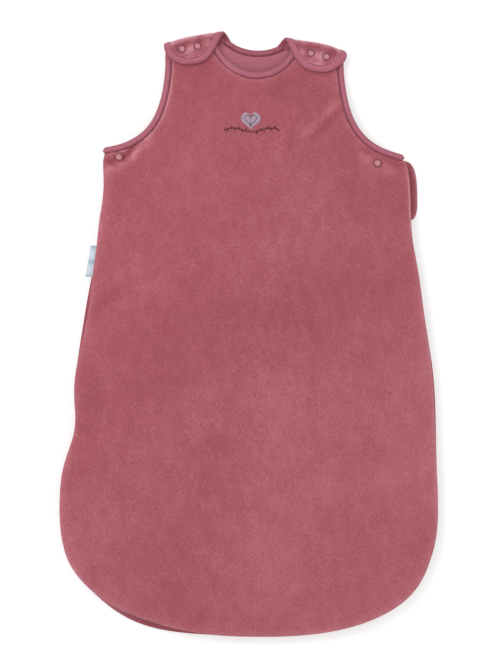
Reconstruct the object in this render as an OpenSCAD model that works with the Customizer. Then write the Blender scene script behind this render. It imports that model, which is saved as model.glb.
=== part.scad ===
// Padded sleeveless sleeping bag for a baby, lying on its back and closed.
// +X is the wearer's left, +Y the head end, +Z up; the back lies flat on z = 0.
// Lengths are millimetres.

/* [Bag] */
// Length from the top of the shoulder to the hem
bag_length = 700; // [560:10:900]
// Width at the widest place, above the hem
hem_w = 438; // [370:1:520]
// Width across the chest, from underarm to underarm
chest_w = 341; // [300:1:420]
// Height of the widest place above the hem
widest_up = 155; // [120:1:185]
// Squareness of the hem's curve, 2 being an ellipse
hem_power = 2.6; // [2:0.1:3.2]
// Sideways shift of the chest from the hem, as the bag lies
lean = 6.5; // [0:0.5:10]
// Sideways shift of the hem, as the bag lies
hem_lean = 5.5; // [0:0.5:10]
// Slant of the shoulders as the bag lies, rise per width
slant = 0.025; // [0:0.005:0.03]
// How much further down the shoulder on +X lies
shoulder_slip = 5; // [0:0.5:8]

/* [Armholes and neck] */
// Width across the shoulders, from armhole to armhole
shoulder_w = 210; // [195:1:225]
// Depth of an armhole below the shoulder
armhole_depth = 125; // [105:1:140]
// Width between the inner ends of the shoulders
neck_w = 67; // [60:1:78]
// Drop of the front neckline below the shoulder's inner end
front_neck_drop = 48; // [42:1:56]
// Drop of the back neckline below the shoulder's inner end
back_neck_drop = 21; // [15:1:26]
// Fall of the shoulder line from neck to armhole
shoulder_fall = 14.3; // [10:0.1:18]
// Width of the binding on the neck and the armholes
binding_w = 6.5; // [5:0.5:8]

/* [Padding] */
// Thickness of the back along its edge
back_edge = 4; // [3.6:0.1:4.4]
// Thickness that the back gains towards its middle
back_loft = 6; // [4:0.5:8]
// Height of the front's underside along its edge
front_edge_z = 15; // [14.6:0.1:18]
// Rise of the front's underside towards the middle
front_rise = 9; // [6:0.5:12]
// Thickness of the front along its edge
front_edge = 4; // [3.6:0.1:5]
// Thickness that the front gains towards its middle
front_loft = 6; // [4:0.5:8]
// Distance from the edge over which the padding swells
swell = 48; // [35:1:60]
// Thickness of the velvet shell
shell_t = 1.2; // [0.8:0.1:1.4]
// Thickness of the jersey lining
lining_t = 0.9; // [0.6:0.1:1.1]
// Gap between two layers
layer_gap = 0.15; // [0.1:0.05:0.2]

/* [Shoulder tabs] */
// Thickness of a shoulder tab
tab_t = 4; // [3.6:0.1:4.6]
// Depth of a tab, from the fold's outer edge to its tip
tab_depth = 31; // [28:0.5:36]
// Width of the binding round a tab
tab_binding_w = 8; // [6:0.5:9]
// Gap between the front strap and the tab on it
tab_gap = 0.8; // [0.6:0.1:1.2]

/* [Press studs] */
// Diameter of a stud's cap
cap_d = 9.4; // [8:0.1:10.4]
// Height of a cap over the fabric
cap_h = 1.3; // [1:0.1:1.6]
// Diameter of a stud's post
post_d = 3; // [2.6:0.1:3.4]
// Radial clearance between post and socket
post_gap = 0.35; // [0.3:0.05:0.5]

/* [Zip] */
// Distance of the zip's tape inside the bag's edge
zip_inset = 6; // [5:0.5:8]
// Distance from the underarm to the front's fold at the zip
fold_drop = 54; // [54:1:80]
// Angle round the hem at which the zip ends, up from its left end
zip_end_angle = 37; // [30:1:60]
// Width of the two rows of teeth together
chain_w = 5.2; // [4.6:0.1:5.6]
// Gap between the two rows, for the slider's post
chain_gap = 1.2; // [1.1:0.1:1.4]
// Length of the slider
slider_l = 14; // [12:0.5:16]
// Width of the slider
slider_w = 7.8; // [7.2:0.1:8]
// Length of the pull
pull_l = 24; // [18:1:32]

/* [Trim] */
// Length of the side label
label_l = 35; // [28:1:44]
// Distance that the label stands out of the side
label_out = 6; // [4.5:0.5:9]
// Length of the guard flap beside the zip's top
guard_l = 69; // [60:1:76]
// Distance that the guard flap stands out of the side
guard_out = 10.5; // [8:0.5:13]
// Width of the embroidered motif
motif_w = 22; // [16:1:28]

/* [Hidden] */
$fn = 48;

velvet = [0.68, 0.38, 0.43];
jersey = [0.70, 0.44, 0.49];
padding = [0.93, 0.92, 0.90];
edging = [0.66, 0.39, 0.45];
plum = [0.56, 0.29, 0.34];
metal = [0.72, 0.45, 0.50];
thread = [0.78, 0.69, 0.80];
label_blue = [0.84, 0.88, 0.93];

// --- Curves in the plane -------------------------------------------------

function mix(a, b, t) = a + (b - a) * t;
function smooth(t) = let(s = min(1, max(0, t))) s * s * (3 - 2 * s);
function power(a, e) = sign(a) * pow(abs(a), e);
function reversed(list) = [for (i = [len(list) - 1:-1:0]) list[i]];
function flipped(list) = [for (p = list) [-p.x, p.y]];
function bezier(c, t) =
    pow(1 - t, 3) * c[0] + 3 * pow(1 - t, 2) * t * c[1]
    + 3 * (1 - t) * t * t * c[2] + pow(t, 3) * c[3];
function curve(c, n) = [for (i = [0:n]) bezier(c, i / n)];
function line(a, b, n) = [for (i = [0:n]) mix(a, b, i / n)];

// Moves each point of an open line to its left by d.
function shifted(list, d) = [
    for (i = [0:len(list) - 1])
        let(ahead = list[min(i + 1, len(list) - 1)], behind = list[max(i - 1, 0)])
        let(way = (ahead - behind) / norm(ahead - behind))
        list[i] + d * [-way.y, way.x]
];

// How the bag lies: the chest leans sideways and the shoulders slant.
function lay(p) = [
    p.x + lean * smooth((p.y - widest_y - lean_above) / (side_curve - lean_above))
        + hem_lean * smooth((widest_y - hem_lean_below - p.y) / hem_lean_over),
    p.y - slant * p.x * smooth((p.y - slant_from) / slant_over)
];
function laid(list) = [for (p = list) lay(p)];

// --- The bag's outline, before it is laid --------------------------------

hem_y = -bag_length / 2;
widest_y = hem_y + widest_up;
side_curve = 170;
lean_above = 40;
hem_lean_below = 60;
hem_lean_over = 60;
slant_from = 100;
slant_over = 100;
knee_y = widest_y + side_curve;
neck_x = neck_w / 2;
shoulder_run = shoulder_w / 2 - neck_x;
shoulder_dip = shoulder_fall - slant * shoulder_run;
fold_in = 3;
neck_y = bag_length / 2 - slant * neck_x
    + fold_in * shoulder_dip / norm([shoulder_run, shoulder_dip]);
arm_y = neck_y - shoulder_fall - armhole_depth;
side_bow = (hem_w / 2 - chest_w / 2) / (1 + 2 * (arm_y - knee_y) / side_curve);

function hem_point(angle) = [
    hem_w / 2 * power(cos(angle), 2 / hem_power),
    widest_y + widest_up * power(sin(angle), 2 / hem_power)
];
function side_x(y) = y < knee_y
    ? hem_w / 2 - side_bow * pow((y - widest_y) / side_curve, 2)
    : hem_w / 2 - side_bow - 2 * side_bow / side_curve * (y - knee_y);
function side_points(y0, y1, n) = [for (i = [0:n]) let(y = mix(y0, y1, i / n)) [side_x(y), y]];

underarm = [chest_w / 2, arm_y];
shoulder_in = [neck_x, neck_y];
shoulder_out = [shoulder_w / 2, neck_y - shoulder_fall];
armhole = curve([
    underarm,
    [mix(shoulder_out.x, underarm.x, 0.22), arm_y + 0.1 * armhole_depth],
    [shoulder_out.x - 0.5, arm_y + 0.32 * armhole_depth],
    [shoulder_out.x - 2.7, arm_y + 0.9 * armhole_depth]
], 10);

// --- Shoulders ------------------------------------------------------------

// The strap from the back folds over at the shoulder; this is the fold's height.
strap_z = back_edge + 1.2;
strap_top = strap_z + front_edge;
tab_z = strap_top + tab_gap;
fold_r = (tab_z + tab_t) / 2;
fold_inner_r = fold_r - back_edge;

function slipped(s, p) = [p.x, p.y - (s > 0 ? shoulder_slip : 0)];
function shoulder_start(s) = slipped(s, lay([s * shoulder_in.x, shoulder_in.y]));
function shoulder_end(s) = slipped(s, lay([s * shoulder_out.x, shoulder_out.y]));
function shoulder_way(s) =
    let(run = shoulder_end(s) - shoulder_start(s)) run / norm(run);
function shoulder_len(s) = norm(shoulder_end(s) - shoulder_start(s));
// A point u along the fold from the neck and v down the chest from it.
function on_shoulder(s, u, v) =
    let(w = shoulder_way(s)) shoulder_start(s) + u * w + v * s * [w.y, -w.x];

// Front strap's end, under the tab.
strap_end_v = fold_r + 4;

// --- Necklines ------------------------------------------------------------

// A hollow from one strap to the other that comes down to the given height.
function neckline(from, to, low_y, n) =
    let(steer_y = (8 * low_y - from.y - to.y) / 6, run = to.x - from.x)
    curve([from, [from.x + 0.27 * run, steer_y], [to.x - 0.25 * run, steer_y], to], n);
front_neck_u = 14;
back_neck_u = 1;
front_neck = neckline(
    on_shoulder(-1, front_neck_u, strap_end_v), on_shoulder(1, front_neck_u, strap_end_v),
    neck_y - front_neck_drop, 14
);
back_neck = neckline(
    on_shoulder(-1, back_neck_u, fold_r), on_shoulder(1, back_neck_u, fold_r),
    neck_y - back_neck_drop, 10
);
front_neck_edge = shifted(front_neck, -binding_w);
back_neck_edge = shifted(back_neck, -binding_w);

// --- Fold of the front, from the zip's top to the zip's end ----------------

fold_top_y = arm_y - fold_drop;
fold_top = lay([side_x(fold_top_y), fold_top_y]);
fold_low = lay(hem_point(zip_end_angle - 180));
fold_way = (fold_top - fold_low) / norm(fold_top - fold_low);
fold_gap = 0.5;
cut_in = 7;

right_side = laid([
    for (i = [0:4]) let(y = mix(widest_y, knee_y, i / 4)) [side_x(y), y]
]);
left_arm = concat(
    [for (i = [0:9]) laid(flipped(armhole))[i]], [on_shoulder(-1, shoulder_len(-1), strap_end_v)]
);
right_arm = concat(
    [for (i = [0:9]) laid(armhole)[i]], [on_shoulder(1, shoulder_len(1), strap_end_v)]
);
left_arm_edge = shifted(left_arm, -binding_w);
right_arm_edge = shifted(right_arm, binding_w);

// Front outline for measuring how far a point lies from the edge.
whole_hem = laid([for (a = [-180:9:0]) hem_point(a)]);
straight_right = laid(side_points(knee_y, arm_y, 4));
straight_left = laid(flipped(side_points(knee_y, arm_y, 4)));
outline = concat(
    whole_hem,
    [for (i = [1:3]) right_side[i]],
    straight_right,
    right_arm_edge,
    reversed(front_neck_edge),
    reversed(left_arm_edge),
    reversed(straight_left),
    reversed(laid(flipped([for (i = [1:3]) let(y = mix(widest_y, knee_y, i / 4)) [side_x(y), y]])))
);

function seg_distance(p, a, b) =
    let(ab = b - a, t = min(1, max(0, (p - a) * ab / max(ab * ab, 1e-9)))) norm(p - a - t * ab);
function edge_distance(p) = min([
    for (i = [0:len(outline) - 1]) seg_distance(p, outline[i], outline[(i + 1) % len(outline)])
]);
function swelling(p) = 1 - exp(-edge_distance(p) / swell);
// 1 where the front strap lies down on the back, 0 elsewhere.
function strapped(p) =
    smooth((p.y - arm_y - 38) / 55) * smooth((abs(p.x - lean) - 14) / 24);
function front_low(p, k) = mix(front_edge_z + front_rise * k, strap_z, strapped(p));
function front_high(p, k) = front_low(p, k) + front_edge + front_loft * k * (1 - strapped(p));
function back_high(p, k) =
    back_edge + back_loft * k * (1 - smooth((p.y - arm_y + 10) / 80));

// --- Grids of points over the panels ----------------------------------------

// Fills the space between four edges that meet at their corners.
function filled(bottom, top, left, right) = [
    for (j = [0:len(left) - 1])
        let(v = j / (len(left) - 1))
        [
            for (i = [0:len(bottom) - 1])
                let(u = i / (len(bottom) - 1))
                mix(left[j], right[j], u)
                + (1 - v) * (bottom[i] - mix(bottom[0], bottom[len(bottom) - 1], u))
                + v * (top[i] - mix(top[0], top[len(top) - 1], u))
        ]
];

left_hem_up = laid([for (i = [0:2]) hem_point(zip_end_angle - 180 - i * zip_end_angle / 3)]);
panel_arm_y = arm_y - 1.15 * binding_w;
left_side_up = laid(flipped(side_points(widest_y, panel_arm_y, 8)));
front_left = concat(
    left_hem_up,
    left_side_up,
    [for (i = [1:10]) left_arm_edge[i]]
);
front_right = concat(
    line(fold_top, lay([side_x(panel_arm_y), panel_arm_y]), 11),
    [for (i = [1:10]) right_arm_edge[i]]
);
strap_corner = 1.25 * binding_w;
front_top = concat(
    line(left_arm_edge[10], on_shoulder(-1, front_neck_u + strap_corner, strap_end_v), 3),
    [for (i = [1:13]) front_neck_edge[i]],
    line(on_shoulder(1, front_neck_u + strap_corner, strap_end_v), right_arm_edge[10], 3)
);
front_bottom = line(fold_low, fold_top, len(front_top) - 1);
front_grid = filled(front_bottom, front_top, front_left, front_right);

flap_outer = concat(
    laid([for (a = [zip_end_angle - 178:(178 - zip_end_angle) / 14:-1]) hem_point(a)]),
    right_side,
    [for (i = [1:4]) mix(right_side[4], fold_top, i / 4 - 0.008 * i)]
);
flap_inner = line(
    fold_low + cut_in * fold_way + fold_gap * [fold_way.y, -fold_way.x],
    fold_top - cut_in * fold_way + fold_gap * [fold_way.y, -fold_way.x],
    len(flap_outer) - 1
);
flap_rows = 6;
flap_grid = filled(
    flap_outer,
    flap_inner,
    line(flap_outer[0], flap_inner[0], flap_rows),
    line(flap_outer[len(flap_outer) - 1], flap_inner[len(flap_inner) - 1], flap_rows)
);

back_corner = 50;
back_corner_u = 1.55 * binding_w;
back_left = concat(
    laid([for (i = [0:2]) hem_point(back_corner - 180 - i * back_corner / 3)]),
    laid(flipped(side_points(widest_y, panel_arm_y, 7))),
    [for (i = [1:9]) left_arm_edge[i]],
    [on_shoulder(-1, shoulder_len(-1) - binding_w, fold_r)]
);
back_right = concat(
    laid([for (i = [0:2]) hem_point(-back_corner + i * back_corner / 3)]),
    laid(side_points(widest_y, panel_arm_y, 7)),
    [for (i = [1:9]) right_arm_edge[i]],
    [on_shoulder(1, shoulder_len(1) - binding_w, fold_r)]
);
back_top = concat(
    line(back_left[len(back_left) - 1], on_shoulder(-1, back_neck_u + back_corner_u, fold_r), 3),
    [for (i = [1:9]) back_neck_edge[i]],
    line(on_shoulder(1, back_neck_u + back_corner_u, fold_r), back_right[len(back_right) - 1], 3)
);
back_bottom = laid([
    for (i = [0:len(back_top) - 1])
        hem_point(mix(back_corner - 180, -back_corner, i / (len(back_top) - 1)))
]);
back_grid = filled(back_bottom, back_top, back_left, back_right);

function swellings(grid) = [for (row = grid) [for (p = row) swelling(p)]];
front_k = swellings(front_grid);
flap_k = swellings(flap_grid);
back_k = swellings(back_grid);

// --- Solids from grids -------------------------------------------------------

function cross2(a, b) = a.x * b.y - a.y * b.x;
function grid_turns_left(g) =
    let(j = floor(len(g) / 2), i = floor((len(g[0]) - 1) / 2))
    cross2(g[j][i + 1] - g[j][i], g[min(j + 1, len(g) - 1)][i] - g[max(j - 1, 0)][i]) > 0;

// A closed slab over a grid of plan points, between two grids of heights.
module slab(grid, low, high) {
    rows = len(grid) - 1;
    cols = len(grid[0]) - 1;
    base = (rows + 1) * (cols + 1);
    flip = !grid_turns_left(grid);
    function at(j, i) = j * (cols + 1) + (flip ? cols - i : i);
    function spot(j, i) = grid[j][i];
    points = concat(
        [for (j = [0:rows]) for (i = [0:cols]) [grid[j][i].x, grid[j][i].y, low[j][i]]],
        [for (j = [0:rows]) for (i = [0:cols]) [grid[j][i].x, grid[j][i].y, high[j][i]]]
    );
    under = [
        for (j = [0:rows - 1]) for (i = [0:cols - 1])
            for (f = [[at(j, i), at(j, i + 1), at(j + 1, i + 1)],
                      [at(j, i), at(j + 1, i + 1), at(j + 1, i)]]) f
    ];
    over = [for (f = under) [f[0] + base, f[2] + base, f[1] + base]];
    rim = concat(
        [for (i = [0:cols]) at(0, i)],
        [for (j = [1:rows]) at(j, cols)],
        [for (i = [cols - 1:-1:0]) at(rows, i)],
        rows > 1 ? [for (j = [rows - 1:-1:1]) at(j, 0)] : []
    );
    wall = [
        for (n = [0:len(rim) - 1])
            let(p = rim[n], q = rim[(n + 1) % len(rim)])
            for (f = [[p, p + base, q + base], [p, q + base, q]]) f
    ];
    polyhedron(points = points, faces = concat(under, over, wall));
}

// Part of a grid between two rows and two columns, drawn in a little where it meets another.
block_share = 0.01;
function inward(i, ends, last) =
    i == ends[0] && i > 0 ? i + 1 : i == ends[1] && i < last ? i - 1 : i;
function block(m, rows, cols) = [
    for (j = [rows[0]:rows[1]])
        let(near_row = m[inward(j, rows, len(m) - 1)])
        [
            for (i = [cols[0]:cols[1]])
                mix(m[j][i], near_row[inward(i, cols, len(m[0]) - 1)], block_share)
        ]
];

// Heights t above the front's underside and t below its top, over a grid.
function front_layer_low(g, k, t) = [
    for (j = [0:len(g) - 1]) [for (i = [0:len(g[0]) - 1]) front_low(g[j][i], k[j][i]) + t]
];
function front_layer_high(g, k, t) = [
    for (j = [0:len(g) - 1]) [for (i = [0:len(g[0]) - 1]) front_high(g[j][i], k[j][i]) - t]
];
module front_shell_of(g, k) {
    color(velvet) slab(g, front_layer_high(g, k, shell_t), front_layer_high(g, k, 0));
}
// The wadding lies in blocks that meet at these rows and columns of the grid.
module front_wadding_of(g, k, rows, cols) {
    low = front_layer_low(g, k, lining_t + layer_gap);
    high = front_layer_high(g, k, shell_t + layer_gap);
    color(padding) for (a = [1:len(rows) - 1]) for (b = [1:len(cols) - 1])
        let(r = [rows[a - 1], rows[a]], c = [cols[b - 1], cols[b]])
        slab(block(g, r, c), block(low, r, c), block(high, r, c));
}
module front_lining_of(g, k) {
    color(jersey) slab(g, front_layer_low(g, k, 0), front_layer_low(g, k, lining_t));
}

// A strip between two lines of plan points, from z = low(p) to z = high(p).
module strip(one, other, low, high) {
    grid = [for (i = [0:len(one) - 1]) [one[i], other[i]]];
    slab(grid, [for (z = low) [z, z]], [for (z = high) [z, z]]);
}
module level_strip(one, other, z0, z1) {
    strip(one, other, [for (p = one) z0], [for (p = one) z1]);
}

// --- Back ----------------------------------------------------------------------

seam = 0.15;
binding_lift = 0.3;

module back_shell() {
    color(velvet) linear_extrude(shell_t) polygon(concat(
        back_bottom,
        [for (i = [1:len(back_right) - 1]) back_right[i]],
        reversed(back_top),
        reversed([for (i = [1:len(back_left) - 2]) back_left[i]])
    ));
}
function back_heights(t) = [
    for (j = [0:len(back_grid) - 1])
        [for (i = [0:len(back_grid[0]) - 1]) back_high(back_grid[j][i], back_k[j][i]) - t]
];
function back_level(z) = [for (row = back_grid) [for (p = row) z]];
module back_wadding() {
    color(padding) slab(
        back_grid, back_level(shell_t + layer_gap), back_heights(lining_t + layer_gap)
    );
}
module back_lining() {
    color(jersey) slab(back_grid, back_heights(lining_t), back_heights(0));
}
module back_neck_binding() {
    color(plum) level_strip(
        back_neck, shifted(back_neck, seam - binding_w), binding_lift, back_edge
    );
}
// Back bindings lie on the floor side, front bindings along the front's edge.
module back_armhole_binding(arm, s) {
    inner = shifted(arm, s * (binding_w - seam));
    u = shoulder_len(s);
    color(edging) level_strip(
        concat([for (i = [0:9]) arm[i]], [on_shoulder(s, u, fold_r)]),
        concat([for (i = [0:9]) inner[i]], [on_shoulder(s, u - binding_w + seam, fold_r)]),
        binding_lift, back_edge
    );
}
module left_back_armhole_binding() back_armhole_binding(left_arm, -1);
module right_back_armhole_binding() back_armhole_binding(right_arm, 1);

// --- Front -----------------------------------------------------------------------

module front_shell() front_shell_of(front_grid, front_k);
front_blocks = [[0, 10, len(front_grid) - 1], [0, 3, 17, len(front_top) - 1]];
flap_blocks = [[0, 2, flap_rows], [0, 7, 14, len(flap_outer) - 1]];
module front_wadding() front_wadding_of(front_grid, front_k, front_blocks[0], front_blocks[1]);
module front_lining() front_lining_of(front_grid, front_k);
module flap_shell() front_shell_of(flap_grid, flap_k);
module flap_wadding() front_wadding_of(flap_grid, flap_k, flap_blocks[0], flap_blocks[1]);
module flap_lining() front_lining_of(flap_grid, flap_k);

module front_binding(path, side) {
    color(edging) strip(
        path,
        shifted(path, side * (binding_w - seam)),
        [for (p = path) front_low(p, 0)],
        [for (p = path) front_low(p, 0) + front_edge]
    );
}
module front_neck_binding() front_binding(front_neck, -1);
module left_armhole_binding() front_binding(left_arm, -1);
module right_armhole_binding() front_binding(right_arm, 1);

// --- Shoulder folds and tabs ---------------------------------------------------------

// Places a child drawn with x along the fold and y up the body from the fold's top line.
module at_shoulder(s) {
    start = shoulder_start(s);
    way = shoulder_way(s);
    translate([start.x, start.y, 0])
        rotate([0, 0, atan2(s * way.y, s * way.x)])
        children();
}
function tab_outline(s) =
    let(w = shoulder_len(s), tip = 0.56 * w)
    [for (p = concat(
        curve([[0, 0], [8, -8], [0.25 * w, -tab_depth], [tip, -tab_depth]], 8),
        [for (i = [1:8]) bezier([
            [tip, -tab_depth], [0.86 * w, -tab_depth], [w, -0.66 * tab_depth], [w, 0]
        ], i / 8)]
    )) [s * p.x, p.y]];
// The part of the tab past the fold's axis.
module tab_shape(s, inset) {
    intersection() {
        polygon(inset == 0 ? tab_outline(s) : concat(
            [[s * tab_binding_w, 0]],
            [for (p = shifted(tab_outline(s), s * inset)) if (p.y < 0) p],
            [[s * (shoulder_len(s) - tab_binding_w), 0]]
        ));
        translate([-2 * shoulder_w, -fold_r - shoulder_w])
            square([4 * shoulder_w, shoulder_w]);
    }
}
module shoulder_fold(s) {
    wide = shoulder_len(s) - fold_in;
    color(velvet) at_shoulder(s)
        translate([s > 0 ? fold_in : -shoulder_len(s), -fold_r, fold_r])
        rotate([90, 0, 90])
        linear_extrude(wide) intersection() {
            difference() {
                circle(fold_r);
                circle(fold_inner_r);
            }
            translate([seam, -fold_r]) square([fold_r, 2 * fold_r]);
        }
}
stud_v = fold_r + cap_d / 2 + 0.1;
stud_us = [35, 53.5];
module at_studs(s) {
    for (u = stud_us) translate([s * u, -stud_v]) children();
}
post_hole_d = post_d + 2 * post_gap;
module tab_layer(s, z0, z1, hue, hole_d) {
    color(hue) at_shoulder(s) difference() {
        translate([0, 0, z0]) linear_extrude(z1 - z0) tab_shape(s, tab_binding_w);
        at_studs(s) translate([0, 0, z0 - 1]) cylinder(d = hole_d, h = z1 - z0 + 2);
    }
}
tab_top = tab_z + tab_t;
stem_d = 2.2;
stem_hole_d = stem_d + 0.3;
socket_d = 7.6;
socket_h = 1.6;
flange_h = 0.5;
module tab_shell(s) tab_layer(s, tab_top - shell_t, tab_top, velvet, stem_hole_d);
module tab_wadding(s)
    tab_layer(s, tab_z + lining_t + layer_gap, tab_top - shell_t - layer_gap, padding, socket_d + 0.3);
module tab_lining(s) tab_layer(s, tab_z, tab_z + lining_t, jersey, socket_d + 0.3);
module tab_binding(s) {
    color(edging) at_shoulder(s)
        translate([0, 0, tab_z])
        linear_extrude(tab_t)
        difference() {
            tab_shape(s, 0);
            offset_hole(s);
        }
}
module offset_hole(s) {
    polygon(concat(
        [[s * (tab_binding_w - seam), 0]],
        [for (p = shifted(tab_outline(s), s * (tab_binding_w - seam))) if (p.y < 0) p],
        [[s * (shoulder_len(s) - tab_binding_w + seam), 0]]
    ));
}

module left_shoulder_fold() shoulder_fold(-1);
module right_shoulder_fold() shoulder_fold(1);
module left_tab_shell() tab_shell(-1);
module left_tab_wadding() tab_wadding(-1);
module left_tab_lining() tab_lining(-1);
module left_tab_binding() tab_binding(-1);
module right_tab_shell() tab_shell(1);
module right_tab_wadding() tab_wadding(1);
module right_tab_lining() tab_lining(1);
module right_tab_binding() tab_binding(1);

// --- Press studs -----------------------------------------------------------------------

// Each is drawn on the face z = 0 of the fabric that it is set in.
module cap(stem_l) {
    rotate_extrude() polygon([
        [0, -stem_l], [stem_d / 2, -stem_l], [stem_d / 2, 0], [cap_d / 2 - 0.4, 0],
        [cap_d / 2, 0.4], [cap_d / 2 - 0.5, cap_h], [cap_d / 2 - 1.4, cap_h],
        [cap_d / 2 - 2.2, cap_h - 0.5], [0, cap_h - 0.6]
    ]);
}
module socket(height) {
    rotate_extrude() polygon([
        [post_hole_d / 2, 0], [socket_d / 2, 0], [socket_d / 2, height],
        [stem_d / 2 + 0.15, height], [stem_d / 2 + 0.15, height - flange_h],
        [post_hole_d / 2, height - flange_h]
    ]);
}
module stud(height) {
    rotate_extrude() polygon([
        [0, 0], [socket_d / 2, 0], [socket_d / 2, flange_h],
        [post_d / 2 - 0.3, flange_h], [post_d / 2, height - 0.6],
        [post_d / 2 - 0.4, height], [0, height]
    ]);
}
module tab_caps(s) {
    color(metal) at_shoulder(s) at_studs(s) translate([0, 0, tab_top + 0.02]) cap(shell_t + 0.4);
}
module tab_sockets(s) {
    color(metal) at_shoulder(s) at_studs(s) translate([0, 0, tab_z]) socket(socket_h);
}
module strap_studs(s) {
    color(metal) at_shoulder(s) at_studs(s) translate([0, 0, strap_top + 0.02])
        stud(tab_gap + socket_h - flange_h - 0.3);
}
module left_tab_caps() tab_caps(-1);
module right_tab_caps() tab_caps(1);
module left_tab_sockets() tab_sockets(-1);
module right_tab_sockets() tab_sockets(1);
module left_strap_studs() strap_studs(-1);
module right_strap_studs() strap_studs(1);

underarm_below = 10;
underarm_spots = [
    lay([14 - underarm.x, arm_y - underarm_below]),
    lay([underarm.x - 29, arm_y - underarm_below])
];
// Room between a stud's flat face and the padding, which swells less near the armhole.
cap_rooms = [0.25, 1.25];
socket_room = 1.2;
stud_room = 0.5;
module underarm_caps() {
    color(metal) for (i = [0:1])
        let(p = underarm_spots[i])
        translate([p.x, p.y, front_high(p, swelling(p)) + cap_rooms[i]]) cap(0.1);
}
module underarm_sockets() {
    color(metal) for (p = underarm_spots)
        translate([p.x, p.y, front_low(p, swelling(p)) - socket_h - socket_room])
        socket(socket_h);
}
module underarm_studs() {
    color(metal) for (p = underarm_spots)
        translate([p.x, p.y, back_high(p, swelling(p)) + stud_room]) stud(socket_h);
}

// --- Side gusset and zip ----------------------------------------------------------------------

tape_t = 0.8;
chain_t = 1.6;
chain_off = 0.1;
band_z0 = back_edge + back_loft * (1 - exp(-zip_inset / swell)) + 0.2;
band_z1 = front_edge_z + 0.2;
chain_z = (band_z0 + band_z1) / 2;
zip_top_y = arm_y - 14;
zip_edge = concat(
    [lay_side(zip_top_y), lay_side(fold_top_y), lay_side(knee_y)],
    reversed([for (i = [0:3]) right_side[i]]),
    laid([for (a = [-8:-8:zip_end_angle - 176]) hem_point(a)])
);
function lay_side(y) = [side_x(y) + lean, y];
zip_path = shifted(zip_edge, -zip_inset);
zip_up = (zip_path[0] - zip_path[2]) / norm(zip_path[0] - zip_path[2]);
split_gap = 0.6;
top_path = [zip_path[0], zip_path[1] + split_gap * zip_up];
front_path = concat(
    [zip_path[1] - split_gap * zip_up],
    [for (i = [2:len(zip_path) - 1]) zip_path[i]]
);

// A wall of the given thickness outside the path, from z0 to z1.
module band(path, out0, out1, z0, z1) {
    level_strip(shifted(path, out0), shifted(path, out1), z0, z1);
}
module zip_tape_back() {
    color(plum) band(zip_path, 0, tape_t, band_z0, chain_z - chain_gap / 2);
}
module zip_tape_front() {
    color(plum) band(front_path, 0, tape_t, chain_z + chain_gap / 2, band_z1);
}
module zip_tape_top() {
    color(plum) band(top_path, 0, tape_t, chain_z + chain_gap / 2, band_z1);
}
module chain(path, z0, z1) {
    color(edging) band(path, tape_t + chain_off, tape_t + chain_off + chain_t, z0, z1);
}
module zip_chain_back() chain(zip_path, chain_z - chain_w / 2, chain_z - chain_gap / 2);
module zip_chain_front() chain(front_path, chain_z + chain_gap / 2, chain_z + chain_w / 2);
module zip_chain_top() chain(top_path, chain_z + chain_gap / 2, chain_z + chain_w / 2);

gusset_t = 1.6;
gusset_in = 4;
module side_gusset() {
    edge = concat(
        [for (i = [0:2]) left_hem_up[i]],
        left_side_up
    );
    color(velvet) level_strip(
        shifted(edge, -gusset_in), shifted(edge, -gusset_in - gusset_t),
        band_z0, band_z1 - layer_gap - seam
    );
}

// Draws with x outward, y up the zip and z up, at the slider's parked place.
slider_park = slider_l / 2 + 4;
module at_slider() {
    p = zip_path[0] - slider_park * zip_up;
    translate([p.x, p.y, chain_z]) rotate([0, 0, atan2(-zip_up.x, zip_up.y)]) children();
}
plate_t = 1;
plate_gap = 0.4;
plate_out = tape_t + chain_off + chain_t + plate_gap;
post_l = 2.5;
bridge_w = 2;
bridge_l = 8;
bridge_h = 3;
bar_r = 0.7;
bar_x = plate_out + plate_t + bar_r + 0.35;
module zip_slider() {
    color(metal) at_slider() {
        for (x = [-plate_gap - plate_t, plate_out])
            translate([x, -slider_l / 2, -slider_w / 2]) cube([plate_t, slider_l, slider_w]);
        translate([-plate_gap - plate_t / 2, slider_l / 2 - post_l, -chain_gap / 2 + 0.15])
            cube([plate_out + plate_gap + plate_t, post_l, chain_gap - 0.3]);
        translate([plate_out + plate_t / 2, -bridge_l / 2, -bridge_w / 2])
            difference() {
                cube([bridge_h + plate_t / 2, bridge_l, bridge_w]);
                translate([-1, 1.2, -1])
                    cube([bridge_h + plate_t / 2, bridge_l - 2.4, bridge_w + 2]);
            }
    }
}
pull_w = 5.6;
pull_t = 1.2;
arm_w = 1.2;
pull_window = bridge_l / 2 + 3;
module zip_pull() {
    color(metal) at_slider() translate([bar_x, 0, 0]) {
        translate([0, 0, -pull_w / 2]) cylinder(r = bar_r, h = pull_w);
        for (z = [-pull_w / 2, pull_w / 2 - arm_w])
            translate([-pull_t / 2, -pull_window, z]) cube([pull_t, pull_window, arm_w]);
        translate([-pull_t / 2, -pull_l, 0]) rotate([90, 0, 90])
            linear_extrude(pull_t) {
                translate([0, -pull_w / 2]) square([pull_l - pull_window + 0.5, pull_w]);
                circle(d = pull_w);
            }
    }
}
stop_gap = 0.15;
// Drawn from y0 along the zip's way up, with x outward.
module stop_block(p, up, y0, l) {
    color(metal) translate([p.x, p.y, chain_z])
        rotate([0, 0, atan2(-up.x, up.y)])
        translate([tape_t + stop_gap, y0, -chain_w / 2])
        cube([chain_t, l, chain_w]);
}
top_stop_l = 2.4;
end_stop_l = 5;
module zip_top_stop() stop_block(zip_path[0], zip_up, stop_gap, top_stop_l);
module zip_end_stop() {
    n = len(zip_path) - 1;
    up = (zip_path[n - 1] - zip_path[n]) / norm(zip_path[n] - zip_path[n - 1]);
    stop_block(zip_path[n], up, -end_stop_l - stop_gap, end_stop_l);
}

// --- Guard, label and motif ----------------------------------------------------------------------

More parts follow.
